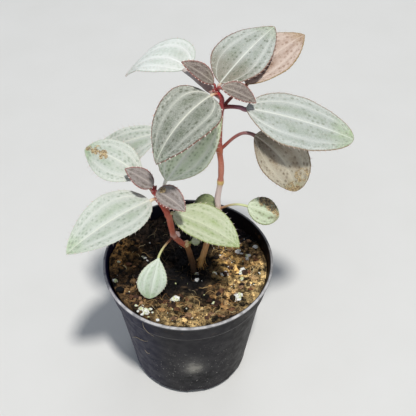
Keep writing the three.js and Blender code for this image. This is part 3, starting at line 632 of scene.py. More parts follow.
class Leaf:
    """Measures of one leaf, with its angles turned into radians"""

    def __init__(self, name, look, node, base, way, blade, lean, stalk, leave=40, slot="leaf_mature",
                 warm=0.0, wing=1.0, stout=1.0, fringe=1.0, own_node=True):
        self.name, self.look, self.slot, self.own_node = name, look, slot, own_node
        self.node, self.base = np.array(node, float), np.array(base, float)
        self.heading, self.rise, self.turn, self.bend = np.radians(way)
        self.length, self.width, self.belly, self.base_taper, self.tip_taper = blade
        self.roll, self.twist, self.fold = np.radians(lean[:3])
        self.cup, self.skew = lean[3:]
        self.stalk = [rgb(code) for code in stalk.split()]
        self.leave = math.radians(leave)
        self.warm, self.wing, self.stout, self.fringe = warm, wing, stout, fringe
        self.large = self.length > LARGE_LEAF
        self.tooth = 2.9 if self.large else 1.8

    def direction(self, s):
        """The midrib's direction at a share of its length"""
        heading, rise = self.heading + self.turn * s, self.rise + self.bend * s
        return np.array([*polar(math.cos(rise), heading), math.sin(rise)])

    def frames(self, shares):
        """Midrib point, sideways and upward directions at shares of the blade's length"""
        steps = 128
        at = np.linspace(0, 1, steps + 1)
        point, side = self.base, np.array([math.sin(self.heading), -math.cos(self.heading), 0.0])
        rows = []
        for s in at:
            along = self.direction(s)
            side = unit(side - along * np.dot(side, along))
            up = np.cross(side, along)
            cosine, sine = polar(1.0, self.roll + self.twist * s)
            rows.append((point, side * cosine + up * sine, up * cosine - side * sine))
            point = point + self.direction(s + 0.5 / steps) * self.length / steps
        rows = np.array(rows)
        return [np.stack([np.interp(shares, at, part[:, axis]) for axis in range(3)], axis=-1)
                for part in np.moveaxis(rows, 1, 0)]

    def half_width(self, t):
        from_base = np.sin(math.pi / 2 * np.minimum(t / self.belly, 1)) ** self.base_taper
        from_tip = np.sin(math.pi / 2 * np.minimum((1 - t) / (1 - self.belly), 1)) ** self.tip_taper
        least = BASE_HALF_WIDTH + (TIP_HALF_WIDTH - BASE_HALF_WIDTH) * t
        return np.maximum(self.width / 2 * np.minimum(from_base, from_tip), least)


# Each leaf: name, look, joint on the stem, base of the blade,
# (heading and climb at the base, change of each to the tip),
# (length, width, share of the length where it is widest, taper to the base and to the tip),
# (roll at the base, twist to the tip, fold along the midrib, cup, skew),
# and the petiole's colours at the joint and at the blade. Angles are in degrees.
LEAVES = [
    Leaf("tall_leaf_left", "white", (16, 4.9, 184.2), (1.1, 14.9, 193.3), (124, 3, 60, -57),
         (40.2, 23.6, 0.42, 0.45, 0.86), (16, -9, 1, 0.01, 0.13), "a88c86 c8bcb4",
         leave=25, warm=0.25, wing=3.3),
    Leaf("tall_leaf_back", "silver", (14.7, 4.9, 187), (16, 9.8, 188.8), (53, 19, -2, -17),
         (42, 26.3, 0.37, 0.61, 0.8), (-5, 1, 5, -0.01, -0.03), "aa5a4c d6c8b4", warm=0.85),
    Leaf("tall_leaf_far", "tan", (17.3, 4.6, 179.4), (27.8, 14.5, 184.8), (48, 23, -7, -24),
         (39.9, 22.1, 0.43, 0.63, 0.85), (-6, -5, 9, 0, -0.02), "965448 96685c", slot="leaf_young"),
    Leaf("tall_leaf_front", "grey", (14.7, 4.9, 187), (11.5, 2.7, 187.1), (-133, 3, -14, -75),
         (41.2, 29.3, 0.29, 0.55, 0.92), (10, -7, 11, 0.02, -0.08), "be6040 deceb0"),
    Leaf("tall_leaf_right", "frost", (17.3, 4.6, 179.4), (27.5, 2.8, 180.1), (4, -14, -17, -6),
         (51.8, 28.3, 0.4, 0.61, 0.53), (-17, -3, 3, 0, 0.13), "964848 a4707c", leave=15, stout=1.25),
    Leaf("tall_leaf_low_right", "tawny", TALL_STEM[7], (31.8, 1.4, 165.4), (-24, -20, -13, -54),
         (34.9, 23, 0.44, 0.63, 0.63), (-46, -4, 10, 0.01, -0.1), "984a3c 966e6c",
         # base tint here is painted shade where the leaf above shades it
         leave=50, slot="leaf_young", warm=0.9),
    Leaf("tall_leaf_low_left", "mint", TALL_STEM[7], (-11.2, 18.1, 153), (172, -21, -2, -12),
         (40.5, 22.5, 0.44, 0.65, 0.67), (7, 33, 6, -0.01, -0.35), "9e5a4a beb09e", leave=30, fringe=1.7),
    Leaf("tall_young_leaf_left", "umber", (14.1, 5, 188.6), (12.9, 5.8, 191.7), (170, 42, -1, -16),
         (17.1, 9.5, 0.42, 0.6, 0.87), (17, 4, 19, 0, -0.02), "963438 a0544e", slot="leaf_young", warm=0.5),
    Leaf("tall_young_leaf_right", "umber", (14.1, 5, 188.6), (16.3, 3.8, 190.9), (-10, -9, 0, -27),
         (17.1, 9.8, 0.42, 0.6, 0.85), (-11, -5, 16, 0.01, -0.03), "963438 a0544e",
         slot="leaf_young", warm=0.4),
    Leaf("tall_small_leaf_left", "olive", TALL_STEM[3], (14.3, 3, 118.6), (166, 3, 7, -26),
         (11.2, 10.8, 0.49, 0.48, 0.6), (6, 1, 9, 0.01, 0.03), "968c60 828c5a", slot="leaf_dark", fringe=1.6),
    Leaf("tall_small_leaf_right", "bronze", TALL_STEM[3], (29.8, -4.1, 125.1), (-9, -10, 2, -18),
         (16.5, 14.4, 0.5, 0.51, 0.59), (-20, -3, 5, -0.01, 0.07), "b08468 ced69e", slot="leaf_dark"),
    Leaf("short_leaf_back", "green", SHORT_STEM[4], (-8.9, -6.6, 144.7), (16, 57, -1, -10),
         (43.3, 24.4, 0.41, 0.72, 0.84), (-73, -1, 8, 0, -0.08), "e2cebc f2f0e2"),
    Leaf("short_leaf_upper_left", "mint", SHORT_STEM[4], (-19.8, -3.2, 141.3), (151, 41, 2, -62),
         (35, 20.9, 0.47, 0.98, 0.72), (14, 15, 3, 0, -0.14), "aa5c46 c4baa0", fringe=1.2),
    Leaf("short_leaf_left", "mint", SHORT_STEM[4], (-17.2, -9.6, 134.2), (218, 8, -3, -33),
         (47.3, 26.6, 0.38, 0.57, 0.79), (8, 1, 12, 0.01, -0.03), "ce7a42 e2d6ba"),
    Leaf("short_leaf_right", "lime", SHORT_STEM[3], (-6, -6.1, 122.2), (-28, 8, -4, -30),
         (37.1, 21.1, 0.45, 0.51, 0.82), (-3, -4, 9, 0.01, -0.03), "a6543e c4c494"),
    Leaf("short_young_leaf_left", "mauve", (-15, -8.3, 139.9), (-15.2, -8, 142.7), (173, 43, -1, -15),
         (15.8, 9.8, 0.41, 0.45, 0.86), (27, 2, 9, 0, -0.05), "a8343c a05450", slot="leaf_young"),
    Leaf("short_young_leaf_right", "mauve", (-15, -8.3, 139.9), (-13.3, -10.2, 141.1), (-36, 6, -1, -35),
         (17.3, 11.3, 0.39, 0.48, 0.86), (-18, -2, 12, 0.02, -0.06), "a8343c a05450", slot="leaf_young"),
    Leaf("short_low_leaf", "spring", SHORT_STEM[2], (-14.3, -13.3, 96.9), (-110, -44, -7, -23),
         (22.3, 15.2, 0.56, 0.9, 0.62), (29, 5, 6, -0.01, 0.09), "964e3a ced296", leave=-10),
    Leaf("short_sprout_leaf", "lime", (-0.4, -1, 92.8), (2, -1.6, 96.1), (1, 12, 0, -25),
         (4.5, 5.2, 0.5, 0.5, 0.5), (-13, 0, 8, 0, 0), "b48c5a b4c478"),
]

# (t, u, reach, strength) of scorched or worn patches
MARKS = {
    "short_leaf_upper_left": ((0.66, -0.08, 3.0, 0.7), (0.8, 0.02, 2.6, 0.65), (0.92, 0.3, 2.2, 0.6)),
    "tall_leaf_low_right": ((0.9, 0.2, 4.0, 0.6), (0.8, -0.5, 3.6, 0.5), (0.92, 0.7, 2.4, 0.6)),
    "tall_small_leaf_right": ((0.42, -0.8, 3.2, 1.0), (0.68, -0.5, 3.2, 0.9), (0.85, -0.2, 2.2, 0.6)),
    "tall_leaf_right": ((0.78, -0.93, 1.6, 0.45),),
    "tall_leaf_left": ((1.0, 0.0, 1.3, 0.9),),
    "tall_leaf_low_left": ((0.94, 0.3, 2.6, 0.8),),
    "short_young_leaf_right": ((0.14, -0.35, 1.6, 0.6),),
}


class Blade:
    """One leaf blade as a fine grid of points: t runs from base to tip, u from edge to edge"""

    def __init__(self, leaf, number):
        self.leaf, self.number = leaf, number
        self.rng = np.random.default_rng(100 + number)
        rows = max(14, int(leaf.length / (ROW_STEP if leaf.large else ROW_STEP * 0.7)))
        columns = max(12, int(leaf.width / COLUMN_STEP / 2) * 2)
        x, v = np.linspace(0, 1, rows + 1)[:, None], np.linspace(-1, 1, columns + 1)
        self.t = x + ROW_BUNCHING * ((0.5 - 0.5 * np.cos(math.pi * x)) - x)
        self.u = v + COLUMN_BUNCHING * np.sin(math.pi * v) / math.pi
        self.mid, self.side, up = leaf.frames(self.t[:, 0])
        self.half = leaf.half_width(self.t)
        self.swell = np.sin(math.pi * np.clip(self.t, 0, 1))
        self.fade = self.swell ** 0.5
        self.size = min(leaf.width / 20, 1)
        out = self.u * (1 + leaf.skew * np.sign(self.u))
        tooth = np.where(self.u > 0, self.teeth(0), self.teeth(1)) * smoothstep(0.8, 1.0, np.abs(self.u))
        across = out * (self.half + tooth) * math.cos(leaf.fold)
        lift = self.half * (np.abs(out) * math.sin(leaf.fold) + leaf.cup * out * out) + self.waves()
        aside, above = self.side[:, None] * across[..., None], up[:, None] * lift[..., None]
        self.surface = self.mid[:, None] + aside + above
        self.normal = unit(np.cross(np.gradient(self.surface, axis=1), np.gradient(self.surface, axis=0)))
        self.find_fields()

    def teeth(self, edge):
        """Outward reach of one edge's forward-pointing teeth"""
        place = self.t * self.leaf.length * MARGIN_RUN / self.leaf.tooth + edge * TOOTH_SHIFT
        part = place - np.floor(place)
        saw = np.where(part < TOOTH_STEEP, part / TOOTH_STEEP, (1 - part) / (1 - TOOTH_STEEP))
        return TOOTH_REACH * min(1.0, self.leaf.width / 16) * self.swell ** 0.4 * (0.6 * saw - 0.2)

    def waves(self):
        """Slow waves of the margin"""
        phase = self.rng.uniform(0, 6.28, 4)
        run = self.t * self.leaf.length
        left = np.sin(run / 3.1 + phase[0]) + 0.6 * np.sin(run / 1.7 + phase[1])
        right = np.sin(run / 3.4 + phase[2]) + 0.6 * np.sin(run / 1.9 + phase[3])
        return WAVE_HEIGHT * self.size * np.where(self.u < 0, left, right) * np.abs(self.u) ** 3 * self.fade

    def pit_spots(self):
        """Rows of small hollows between the veins: (t, u, radius, strength)"""
        rows, spacing = ((0.14, 0.3, 0.46, 0.72, 0.82), 2.5) if self.leaf.large else ((0.25, 0.42, 0.75), 2.0)
        count, rng, found = int(self.leaf.length / spacing), self.rng, []
        for number, row in enumerate(rows):
            for sign in (-1, 1):
                for k in range(1, count):
                    if rng.random() < PIT_GAPS:
                        continue
                    t = (k + 0.5 * (number % 2) + rng.uniform(-0.22, 0.22)) / count
                    u = sign * (row + rng.uniform(-0.03, 0.03))
                    found.append((t, u, rng.uniform(0.4, 0.66), rng.uniform(0.3, 0.95)))
        return found

    def find_fields(self):
        """Distances to veins and margin, pits and damage, at every point"""
        leaf, t, u = self.leaf, self.t, self.u
        width = self.half * (1 + leaf.skew * np.sign(u))
        flat = np.zeros(width.shape)
        self.vein, self.groove, self.rib = flat + 9.0, flat.copy(), flat.copy()
        sway = 1 + 0.05 * np.sin(t * 5 + self.number)
        for place, strength in VEINS:
            distance = np.abs(u - place * sway) * width
            lasting = np.clip(1.2 - t * (0.5 if place == 0 else 0.9), 0, 1) * strength
            self.vein = np.minimum(self.vein, distance + (1 - lasting) * 0.75)
            self.groove += lasting * np.exp(-(distance / 0.42) ** 2)
            self.rib += lasting * np.exp(-(distance / 0.55) ** 2)
        self.edge = np.minimum((1 - np.abs(u)) * self.half, (1 - t) * leaf.length + 0.25)
        self.pit, self.mark = flat.copy(), flat.copy()
        self.pits = self.pit_spots()
        for at_t, at_u, radius, strength in self.pits:
            row, column = np.searchsorted(t[:, 0], at_t), np.searchsorted(u, at_u)
            near = slice(max(row - 7, 0), row + 8), slice(max(column - 6, 0), column + 7)
            along, across = (t[near[0]] - at_t) * leaf.length * 0.62, (u[near[1]] - at_u) * width[near]
            hollow = strength * np.exp(-(along * along + across * across) / radius ** 2)
            self.pit[near] = np.maximum(self.pit[near], hollow)
        self.pit *= smoothstep(0.25, 0.7, self.vein)
        self.tip = flat + smoothstep(0.72, 1.02, t)
        self.root = flat + leaf.warm * smoothstep(0.5, 0.1, t)
        for at_t, at_u, reach, strength in MARKS.get(leaf.name, ()):
            away = np.hypot((t - at_t) * leaf.length, (u - at_u) * width)
            reach = reach * (1 + 0.5 * noise(self.surface, 4.0, 5 + self.number, 2))
            self.mark = np.maximum(self.mark, strength * smoothstep(1.15, 0.75, away / reach))

    def write(self, shape):
        """Both faces with quilting, cross veins, grooves and pits above and ribs below"""
        a = np.abs(self.u)
        inner = np.sin(math.pi * np.clip(a / SIDE_VEIN, 0, 1))
        outer = 0.6 * np.sin(math.pi * np.clip((a - SIDE_VEIN) / (1 - SIDE_VEIN), 0, 1)) * (a >= SIDE_VEIN)
        quilt = QUILT_HEIGHT * (inner ** 0.8 * (a < SIDE_VEIN) + outer) * self.fade * self.size
        flow = self.t * self.leaf.length - 2.2 * a * self.half / 8
        ladder = LADDER_HEIGHT * np.cos(flow * 2 * math.pi / LADDER_STEP) * inner ** 2 * self.size
        pores = PORE_HEIGHT * noise(self.surface, 1.1, self.number, 2)
        groove = VEIN_DEPTH * self.groove * self.fade * self.size
        thick = 0.5 * BLADE_THICK * (1 - 0.45 * a ** 4)
        upper = quilt + ladder + pores - groove - PIT_DEPTH * self.pit + thick
        lower = quilt - thick - RIB_HEIGHT * self.rib * (1 - 0.75 * self.t) * self.size
        lower = np.minimum(lower, upper - LEAST_THICK)
        self.top = self.surface + self.normal * upper[..., None]
        under = self.surface + self.normal * lower[..., None]
        rows, columns = self.vein.shape
        total, faces = rows * columns, grid_faces(rows, columns)
        index = np.arange(total).reshape(rows, columns)
        ring = np.concatenate([index[0, :-1], index[:-1, -1], index[-1, :0:-1], index[:0:-1, 0]])
        after = np.roll(ring, -1)
        wall = np.stack([ring + total, after + total, after, ring], axis=-1)
        values = {key: np.tile(getattr(self, key).ravel(), 2) for key in FIELDS}
        shape.add([self.top, under], [faces, faces[:, ::-1] + total, wall], (0, 1, 0), **values)

    def margin(self):
        """Tooth tips along both edges: points, outward and along directions, normals"""
        leaf, spots = self.leaf, []
        for column, edge, sign in ((-1, 0, 1), (0, 1, -1)):
            for k in range(int(leaf.length * MARGIN_RUN / leaf.tooth) + 1):
                t = (k + TOOTH_STEEP - edge * TOOTH_SHIFT) * leaf.tooth / (leaf.length * MARGIN_RUN)
                if 0.06 < t < 0.985:
                    row = min(np.searchsorted(self.t[:, 0], t), len(self.t) - 2)
                    point = 0.5 * (self.top[row, column] + self.surface[row, column])
                    along = unit(self.mid[row + 1] - self.mid[row])
                    spots.append((point, unit(self.side[row] * sign), along, self.normal[row, column]))
        return [np.array(group) for group in zip(*spots)]


def build_leaf(leaf, number):
    """A blade with its petiole, and a piece with its bristles"""
    if leaf.look not in FACES:
        FACES[leaf.look] = [blade_material(leaf.look), under_material(leaf.look), PETIOLE]
    blade, shape = Blade(leaf, number), Shape()
    blade.write(shape)
    add_petiole(shape, leaf, number)
    nodes = [leaf.name] if leaf.own_node else []
    dress(shape.build("leaf_" + leaf.name, FACES[leaf.look]), leaf.slot, *nodes)
    hairs, rng = Shape(), np.random.default_rng(500 + number)
    point, outward, along, normal = blade.margin()
    count = len(point)
    reach = rng.uniform(*((1.0, 1.9) if leaf.large else (0.6, 1.1)), count) * leaf.fringe
    lean = outward + along * 0.55 + normal * rng.uniform(-0.1, 0.35, (count, 1))
    bristles(hairs, point, lean, reach, 0.115 if leaf.large else 0.085)
    bead = (0.27 if leaf.large else 0.24) * (1.3 if leaf.look in ("grey", "mauve", "umber") else 0.7)
    beads = bead * rng.uniform(0.7, 1.15, count)
    lumps(hairs, point + outward * 0.06 + normal * 0.05, beads, 0, 0.1, number, material=1)
    add_face_hairs(hairs, blade, rng)
    dress(hairs.build("bristles_" + leaf.name, [BRISTLE, BEAD]), leaf.slot)


def add_face_hairs(shape, blade, rng):
    """Stiff white hairs that stand in the pits and lie along the face"""
    extra = int(blade.leaf.length * blade.leaf.width * 0.3)
    places = [spot[:2] for spot in blade.pits]
    places = np.array(places + list(zip(rng.uniform(0.04, 0.98, extra), rng.uniform(-0.97, 0.97, extra))))
    rows = np.clip(np.searchsorted(blade.t[:, 0], places[:, 0]), 1, len(blade.t) - 2)
    columns = np.clip(np.searchsorted(blade.u, places[:, 1]), 0, len(blade.u) - 1)
    along = unit(blade.mid[rows + 1] - blade.mid[rows])
    lean = blade.normal[rows, columns] + along * rng.uniform(0.3, 1.3, (len(rows), 1))
    lean += rng.normal(0, 0.2, lean.shape)
    bristles(shape, blade.top[rows, columns], lean, rng.uniform(0.35, 0.85, len(rows)), 0.055)


def round_places(run, angle, spread):
    """Places on a straightened bar, where noise is read: how far along it, then round it"""
    return np.stack(np.broadcast_arrays(run, *polar(spread, angle)), axis=-1)


def add_petiole(shape, leaf, number):
    """From inside the stem to the blade, then on as a rib that thins out under it"""
    ahead = leaf.base - leaf.node
    reach = np.linalg.norm(ahead)
    start = unit(ahead * [1, 1, 0]) * math.cos(leaf.leave) + np.array([0, 0, math.sin(leaf.leave)])
    first, second = leaf.node + start * reach * 0.4, leaf.base - leaf.direction(0) * reach * 0.4
    s = np.linspace(0, 1, max(10, int(reach / 0.5)) + 1)[:, None]
    r = 1 - s
    path = r ** 3 * leaf.node + 3 * r ** 2 * s * first + 3 * r * s * s * second + s ** 3 * leaf.base
    thick = (0.85 if leaf.large else 0.62) * leaf.stout
    radii = thick * (1.08 - 0.2 * np.sin(math.pi * np.clip(s[:, 0], 0, 1)) ** 0.7)
    share = np.linspace(0.02, 0.2, 8)
    mid, _, up = leaf.frames(share)
    rib = thick * (0.9 - 0.65 * share / 0.2)
    path = path - up[0] * (0.9 * thick * smoothstep(0.72, 1.0, s))
    path = np.concatenate([path, mid - up * (rib + 0.04)[:, None]])
    at = np.concatenate([s, np.ones((len(share), 1))])
    blend = smoothstep(0.1, 0.95, at)
    sides = 14
    angle = turns(sides)
    places = round_places(np.arange(len(path))[:, None] * 0.5, angle, 2)
    wide = 1 + (leaf.wing - 1) * smoothstep(0.0, 0.35, at)
    wobble = 1 + 0.05 * noise(places, 1.5, number)
    wobble = wobble * wide / np.sqrt(np.cos(angle) ** 2 + (wide * np.sin(angle)) ** 2)
    tint = leaf.stalk[0] * (1 - blend) + leaf.stalk[1] * blend
    tube(shape, path, np.concatenate([radii, rib]), sides, tint, 2, wobble)


# Stems: screen colours by height

TALL_COLOURS = {
    # the foot's colours at 72 and 84 are lighter than the stem's own tan: painted light where the foot lies
    # in shade
    44: "8c643c", 72: "eebc76", 84: "ecb678", 96: "d89c70", 108: "d6ae96",
    115: "ceac88", 118.5: "d6baa0", 121: "e6d2ca", 133.4: "e0c8c0",
    134.6: "d8b870", 136: "d8b870", 136.8: "bc7460", 146: "c47c68",
    152.5: "be684e", 154.7: "b86846", 158: "b45c4e", 170: "a04e44",
    181: "a04242", 185: "b03638", 189: "be2c38",
}
OLD_COLOURS = {
    44: "463426", 76: "543e2e", 84: "684c34", 90: "966844", 94.1: "be8c54",
    94.5: "ecc882",
}
SHORT_COLOURS = {
    91: "ce7450", 96: "ce684c", 100.5: "cc745c", 102.5: "e8b8a6", 105: "d27c66",
    112: "ce6850", 118: "d27c66", 122: "c65c48", 131: "be4e42", 134: "c46860",
    140: "b8383c",
}


def stem_tube(shape, path, radius, joints, colours, seed, crack, taper=0.0):
    """Ribbed bar with swollen joints, coloured by height; returns its radii"""
    distance = np.linalg.norm(path[:, None] - np.array(joints, float), axis=-1).min(axis=1)
    swelling = np.maximum(0, 1 - distance / NODE_REACH) ** 0.7
    radii = radius * (1 - taper * smoothstep(0.72, 1.0, np.linspace(0, 1, len(path)))) + NODE_SWELL * swelling
    sides = 26
    angle = turns(sides)
    run = np.append(0, np.cumsum(np.linalg.norm(np.diff(path, axis=0), axis=1)))[:, None]
    wobble = 1 + 0.045 * np.cos(4 * angle + 0.03 * run)
    wobble = wobble + crack * noise(round_places(run * 0.35, angle, 2.2), 1.3, seed, 3)
    wobble += 0.05 * noise(np.repeat(run, 3, axis=1), 6.0, seed + 4)[:, None]
    stops = np.array([rgb(code) for code in colours.values()])
    tint = np.stack([np.interp(path[:, 2], list(colours), stops[:, k]) for k in range(4)], axis=-1)
    tube(shape, path, radii, sides, tint, 0, wobble)
    return radii


def stem_hairs(shape, path, radii, count, low, high, seed, length=0.6):
    rng = np.random.default_rng(seed)
    along, side, across = frames_along(path)
    rows = rng.choice(np.nonzero((path[:, 2] > low) & (path[:, 2] < high))[0], count)
    angle = rng.uniform(0, 2 * math.pi, count)[:, None]
    outward = side[rows] * np.cos(angle) + across[rows] * np.sin(angle)
    shift = along[rows] * rng.uniform(-0.3, 0.3, (count, 1))
    roots = path[rows] + outward * radii[rows][:, None] * 0.95 + shift
    lean = outward + along[rows] * rng.uniform(-0.2, 0.9, (count, 1)) + rng.normal(0, 0.15, (count, 3))
    bristles(shape, roots, lean, rng.uniform(0.5, 1.2, count) * length, 0.035)


def build_stems():
    """Both stems with their hairs, the old stem's cut end and the short stem's first buds"""
    hairs, shape = Shape(), Shape()
    path = np.concatenate([[TALL_STEM_ROOT], smooth_path(TALL_STEM, 14)])
    radii = stem_tube(shape, path, STEM_RADIUS, TALL_STEM[3:10:2], TALL_COLOURS, 31, 0.07, 0.35)
    stem_hairs(hairs, path, radii, 700, 119, 189, 61)
    stem_hairs(hairs, path, radii, 130, 76, 119, 62, 0.4)
    dress(shape.build("stem_tall", [STEM]), "stem", "tall_stem")

    shape = Shape()
    path = np.concatenate([[OLD_STEM_ROOT], smooth_path(OLD_STEM, 22)])
    stem_tube(shape, path, OLD_STEM_RADIUS, OLD_STEM[2:], OLD_COLOURS, 33, 0.12)
    knob = [(0.5, -0.6, -0.5), (-0.9, -0.3, -0.4), (0.2, 0.8, -0.3), (1.5, 0.1, -1.0)]
    tint = [rgb("f6d8a0"), rgb("e8bc80"), rgb("fae2b2"), rgb("ce9e68")]
    lumps(shape, np.array(OLD_STEM[-1]) + knob, [1.25, 1.15, 1.1, 0.9], 2, 0.4, 19, tint=tint)
    path = smooth_path(SHORT_STEM, 16)
    radii = stem_tube(shape, path, STEM_RADIUS, SHORT_STEM[2:5], SHORT_COLOURS, 35, 0.07, 0.35)
    buds = [(-4.6, -3.2, 104.2), (-4.2, -3.4, 103.0), (-5.3, -3.3, 104.9)]
    lumps(shape, buds, [1.0, 0.8, 0.7], 2, 0.3, 17, (0.9, 0.8, 1.3), tint=[rgb("f4d6cc")] * len(buds))
    stem_hairs(hairs, path, radii, 420, 94, 141, 63)
    dress(shape.build("stem_short", [STEM]), "stem", "short_stem")
    dress(hairs.build("stem_hairs", [BRISTLE, BEAD]), "stem")


# Folded leaflets at both growing tips: stem, place from its end, heading, climb, length, width
LEAFLETS = {
    "tip_one": (TALL_STEM, (0.5, 0.4, -0.6), 40, 62, 2.9, 2.4),
    "tip_two": (TALL_STEM, (-0.5, -0.5, -0.6), 225, 58, 2.8, 2.4),
    "tip_three": (TALL_STEM, (-0.4, 0.6, -0.2), 130, 70, 2.2, 1.8),
    "tip_four": (SHORT_STEM, (0.5, 0.3, -0.4), 62, 60, 2.6, 2.0),
    "tip_five": (SHORT_STEM, (-0.5, -0.4, -0.4), 245, 56, 2.4, 2.0),
}


def build_leaflets():
    for number, (name, (stem, place, heading, rise, length, width)) in enumerate(LEAFLETS.items()):
        base = np.array(stem[-1], float) + place
        leaf = Leaf(name, "bud", base - [0, 0, 1.2], base, (heading, rise, 8, -18),
                    (length, width, 0.42, 0.6, 0.9), (0, 4, 38, 0.1, 0.0), "b43438 ba5450",
                    leave=60, slot="leaf_young", own_node=False)
        build_leaf(leaf, 60 + number)


# Pot


def pot_profile():
    """Outline of the wall from the middle of the foot, round the rim and back down inside"""
    def arc(x, z, radius, start, stop, count):
        angles = np.radians(np.linspace(start, stop, count))
        return [(x + radius * math.cos(a), z + radius * math.sin(a)) for a in angles]

    def line(a, b, count):
        """Points from a to b, with both"""
        return [tuple(np.array(a) + (np.array(b) - a) * k / count) for k in range(count)] + [b]

    taper = (STEP_RADIUS - FOOT_RADIUS) / (STEP_Z - FOOT_ROUND)
    outline = [(0.0, 1.0), (8.0, 0.7), (20.0, 0.35), (27.2, 0.0)]
    outline += arc(FOOT_RADIUS - 4.4, 4.4, 4.4, -72, -6, 9)
    outline += line((FOOT_RADIUS, FOOT_ROUND), (STEP_RADIUS - 0.1, STEP_Z - 0.6), 18)
    outline += [(STEP_RADIUS, STEP_Z - 0.2), (STEP_RADIUS + 0.3, STEP_Z),
                (COLLAR_FOOT_RADIUS - 0.5, COLLAR_FOOT_Z - 0.5),
                (COLLAR_FOOT_RADIUS - 0.1, COLLAR_FOOT_Z - 0.2)]
    outline += line((COLLAR_FOOT_RADIUS, COLLAR_FOOT_Z + 0.3), (COLLAR_TOP_RADIUS, POT_HEIGHT - 3.2), 7)
    outline += [(COLLAR_TOP_RADIUS + 0.35, POT_HEIGHT - 2.6), (RIM_RADIUS - 0.35, POT_HEIGHT - 1.9)]
    outline += arc(RIM_RADIUS - 0.75, POT_HEIGHT - 0.85, 0.75, -40, 60, 6)
    outline += arc(RIM_RADIUS - 1.15, POT_HEIGHT - 0.65, 0.62, 75, 175, 5)
    outline += [(RIM_RADIUS - 1.95, POT_HEIGHT - 1.4)]
    outline += line((COLLAR_TOP_RADIUS - WALL, POT_HEIGHT - 3.0),
                    (COLLAR_FOOT_RADIUS - WALL, COLLAR_FOOT_Z), 5)
    outline += line((STEP_RADIUS - WALL, STEP_Z - WALL), (FOOT_RADIUS - WALL + taper, FOOT_ROUND + FLOOR), 6)
    outline += [(FOOT_RADIUS - FOOT_ROUND, FLOOR), (0.0, FLOOR + 0.6)]
    return np.array(outline)


def build_pot():
    profile = pot_profile()
    body, segments = profile[1:-1], 192
    x, y = polar(body[:, :1], turns(segments))
    points = np.stack([x, y, np.broadcast_to(body[:, 1:], x.shape)], axis=-1).reshape(-1, 3)
    # a moulded wall is never quite round or smooth
    height = points[:, 2]
    swing = noise(points * [1, 1, 0.5], 30.0, 3, 2) * smoothstep(4, 30, height)
    nicks = noise(points * [1, 1, 2], 2.2, 9, 2) * smoothstep(POT_HEIGHT - 1.7, POT_HEIGHT - 0.4, height)
    outward = points * [1, 1, 0] / np.maximum(np.linalg.norm(points[:, :2], axis=1), 1)[:, None]
    points += outward * (WALL_SWING * swing + RIM_NICKS * nicks)[:, None]
    shape = Shape()
    middle = [(0, 0, profile[0][1]), (0, 0, profile[-1][1])]
    shape.add(np.concatenate([points, middle]), closed_faces(len(body), segments))
    pot = shape.build("pot_shell", [pot_material()])
    cutters = Shape()
    for number in range(SLOT_COUNT):
        slot_cutter(cutters, math.radians(SLOT_TURN + 360 * number / SLOT_COUNT))
    cutter = cutters.build("slot_cutter", [])
    modifier = pot.modifiers.new("slots", "BOOLEAN")
    modifier.operation = "DIFFERENCE"
    modifier.solver = "EXACT"
    modifier.object = cutter
    bpy.context.view_layer.update()
    cut = bpy.data.meshes.new_from_object(pot.evaluated_get(bpy.context.evaluated_depsgraph_get()))
    pot.modifiers.clear()
    pot.data = cut
    bpy.data.objects.remove(cutter)
    for polygon in cut.polygons:
        polygon.use_smooth = True
    dress(pot, "pot_plastic", "pot")


def slot_cutter(shape, turn):
    """Block with rounded upper corners that opens a slot from the foot up the wall"""
    length, width, height = SLOT_SIZE
    across = width / 2 - SLOT_CORNER
    outline = [(-width / 2, -1.0), (width / 2, -1.0)]
    for angle in np.radians(range(0, 91, 15)):
        x, z = polar(SLOT_CORNER, angle)
        outline.append((across + x, height - SLOT_CORNER + z))
    outline += [(-x, z) for x, z in outline[:1:-1]]
    x, z = np.array(outline).T
    cosine, sine = polar(1.0, turn)
    ends = [np.stack([radius * cosine - x * sine, radius * sine + x * cosine, z], axis=-1)
            for radius in (FOOT_RADIUS - length / 2, FOOT_RADIUS + length / 2)]
    count = len(outline)
    k = np.arange(count)
    sides = np.stack([(k + 1) % count, (k + 1) % count + count, k + count, k], axis=-1)
    shape.add(np.concatenate(ends), [sides, k[None, ::-1], (k + count)[None]])


# Soil: (x, y, reach, colour) where the mix is darker, moister or drier, with painted light and shade: the
# dark bluish zones in the middle and at the back right are painted shadow over moister soil, the bright ochre
# zones at the right and front are painted light
SOIL_LIGHT_AND_SHADE_ZONES = (
    (2, 4, 15, "0e0d12"), (0, -11, 15, "020207"), (-9, -18, 8, "08070c"), (8, -18, 8, "05050d"),
    (-18, 2, 12, "34281c"), (-34, 6, 9, "a47c48"), (24, 6, 12, "c6a162"),
    (30, -12, 13, "dcbd82"), (0, -32, 13, "bca06e"), (-24, -24, 10, "6c5436"),
    (10, 30, 16, "241e1e"), (-20, 26, 12, "3e3228"), (34, 11, 8, "c4a06e"),
    (34, 22, 6, "24222c"), (17, -20, 8, "96744a"),
)

# (count, least and greatest radius, fineness, darkening) of the crumbs
CRUMBS = ((1900, 0.25, 0.7, 0, 0.9), (620, 0.6, 1.35, 1, 1.0), (120, 1.2, 2.3, 2, 0.9))

# (left and right, front and back, count) of areas with more fibres
FIBRE_AREAS = (((-30, -14), (-32, -22), 10), ((14, 34), (-20, 14), 70), ((-16, 18), (-38, -24), 50))

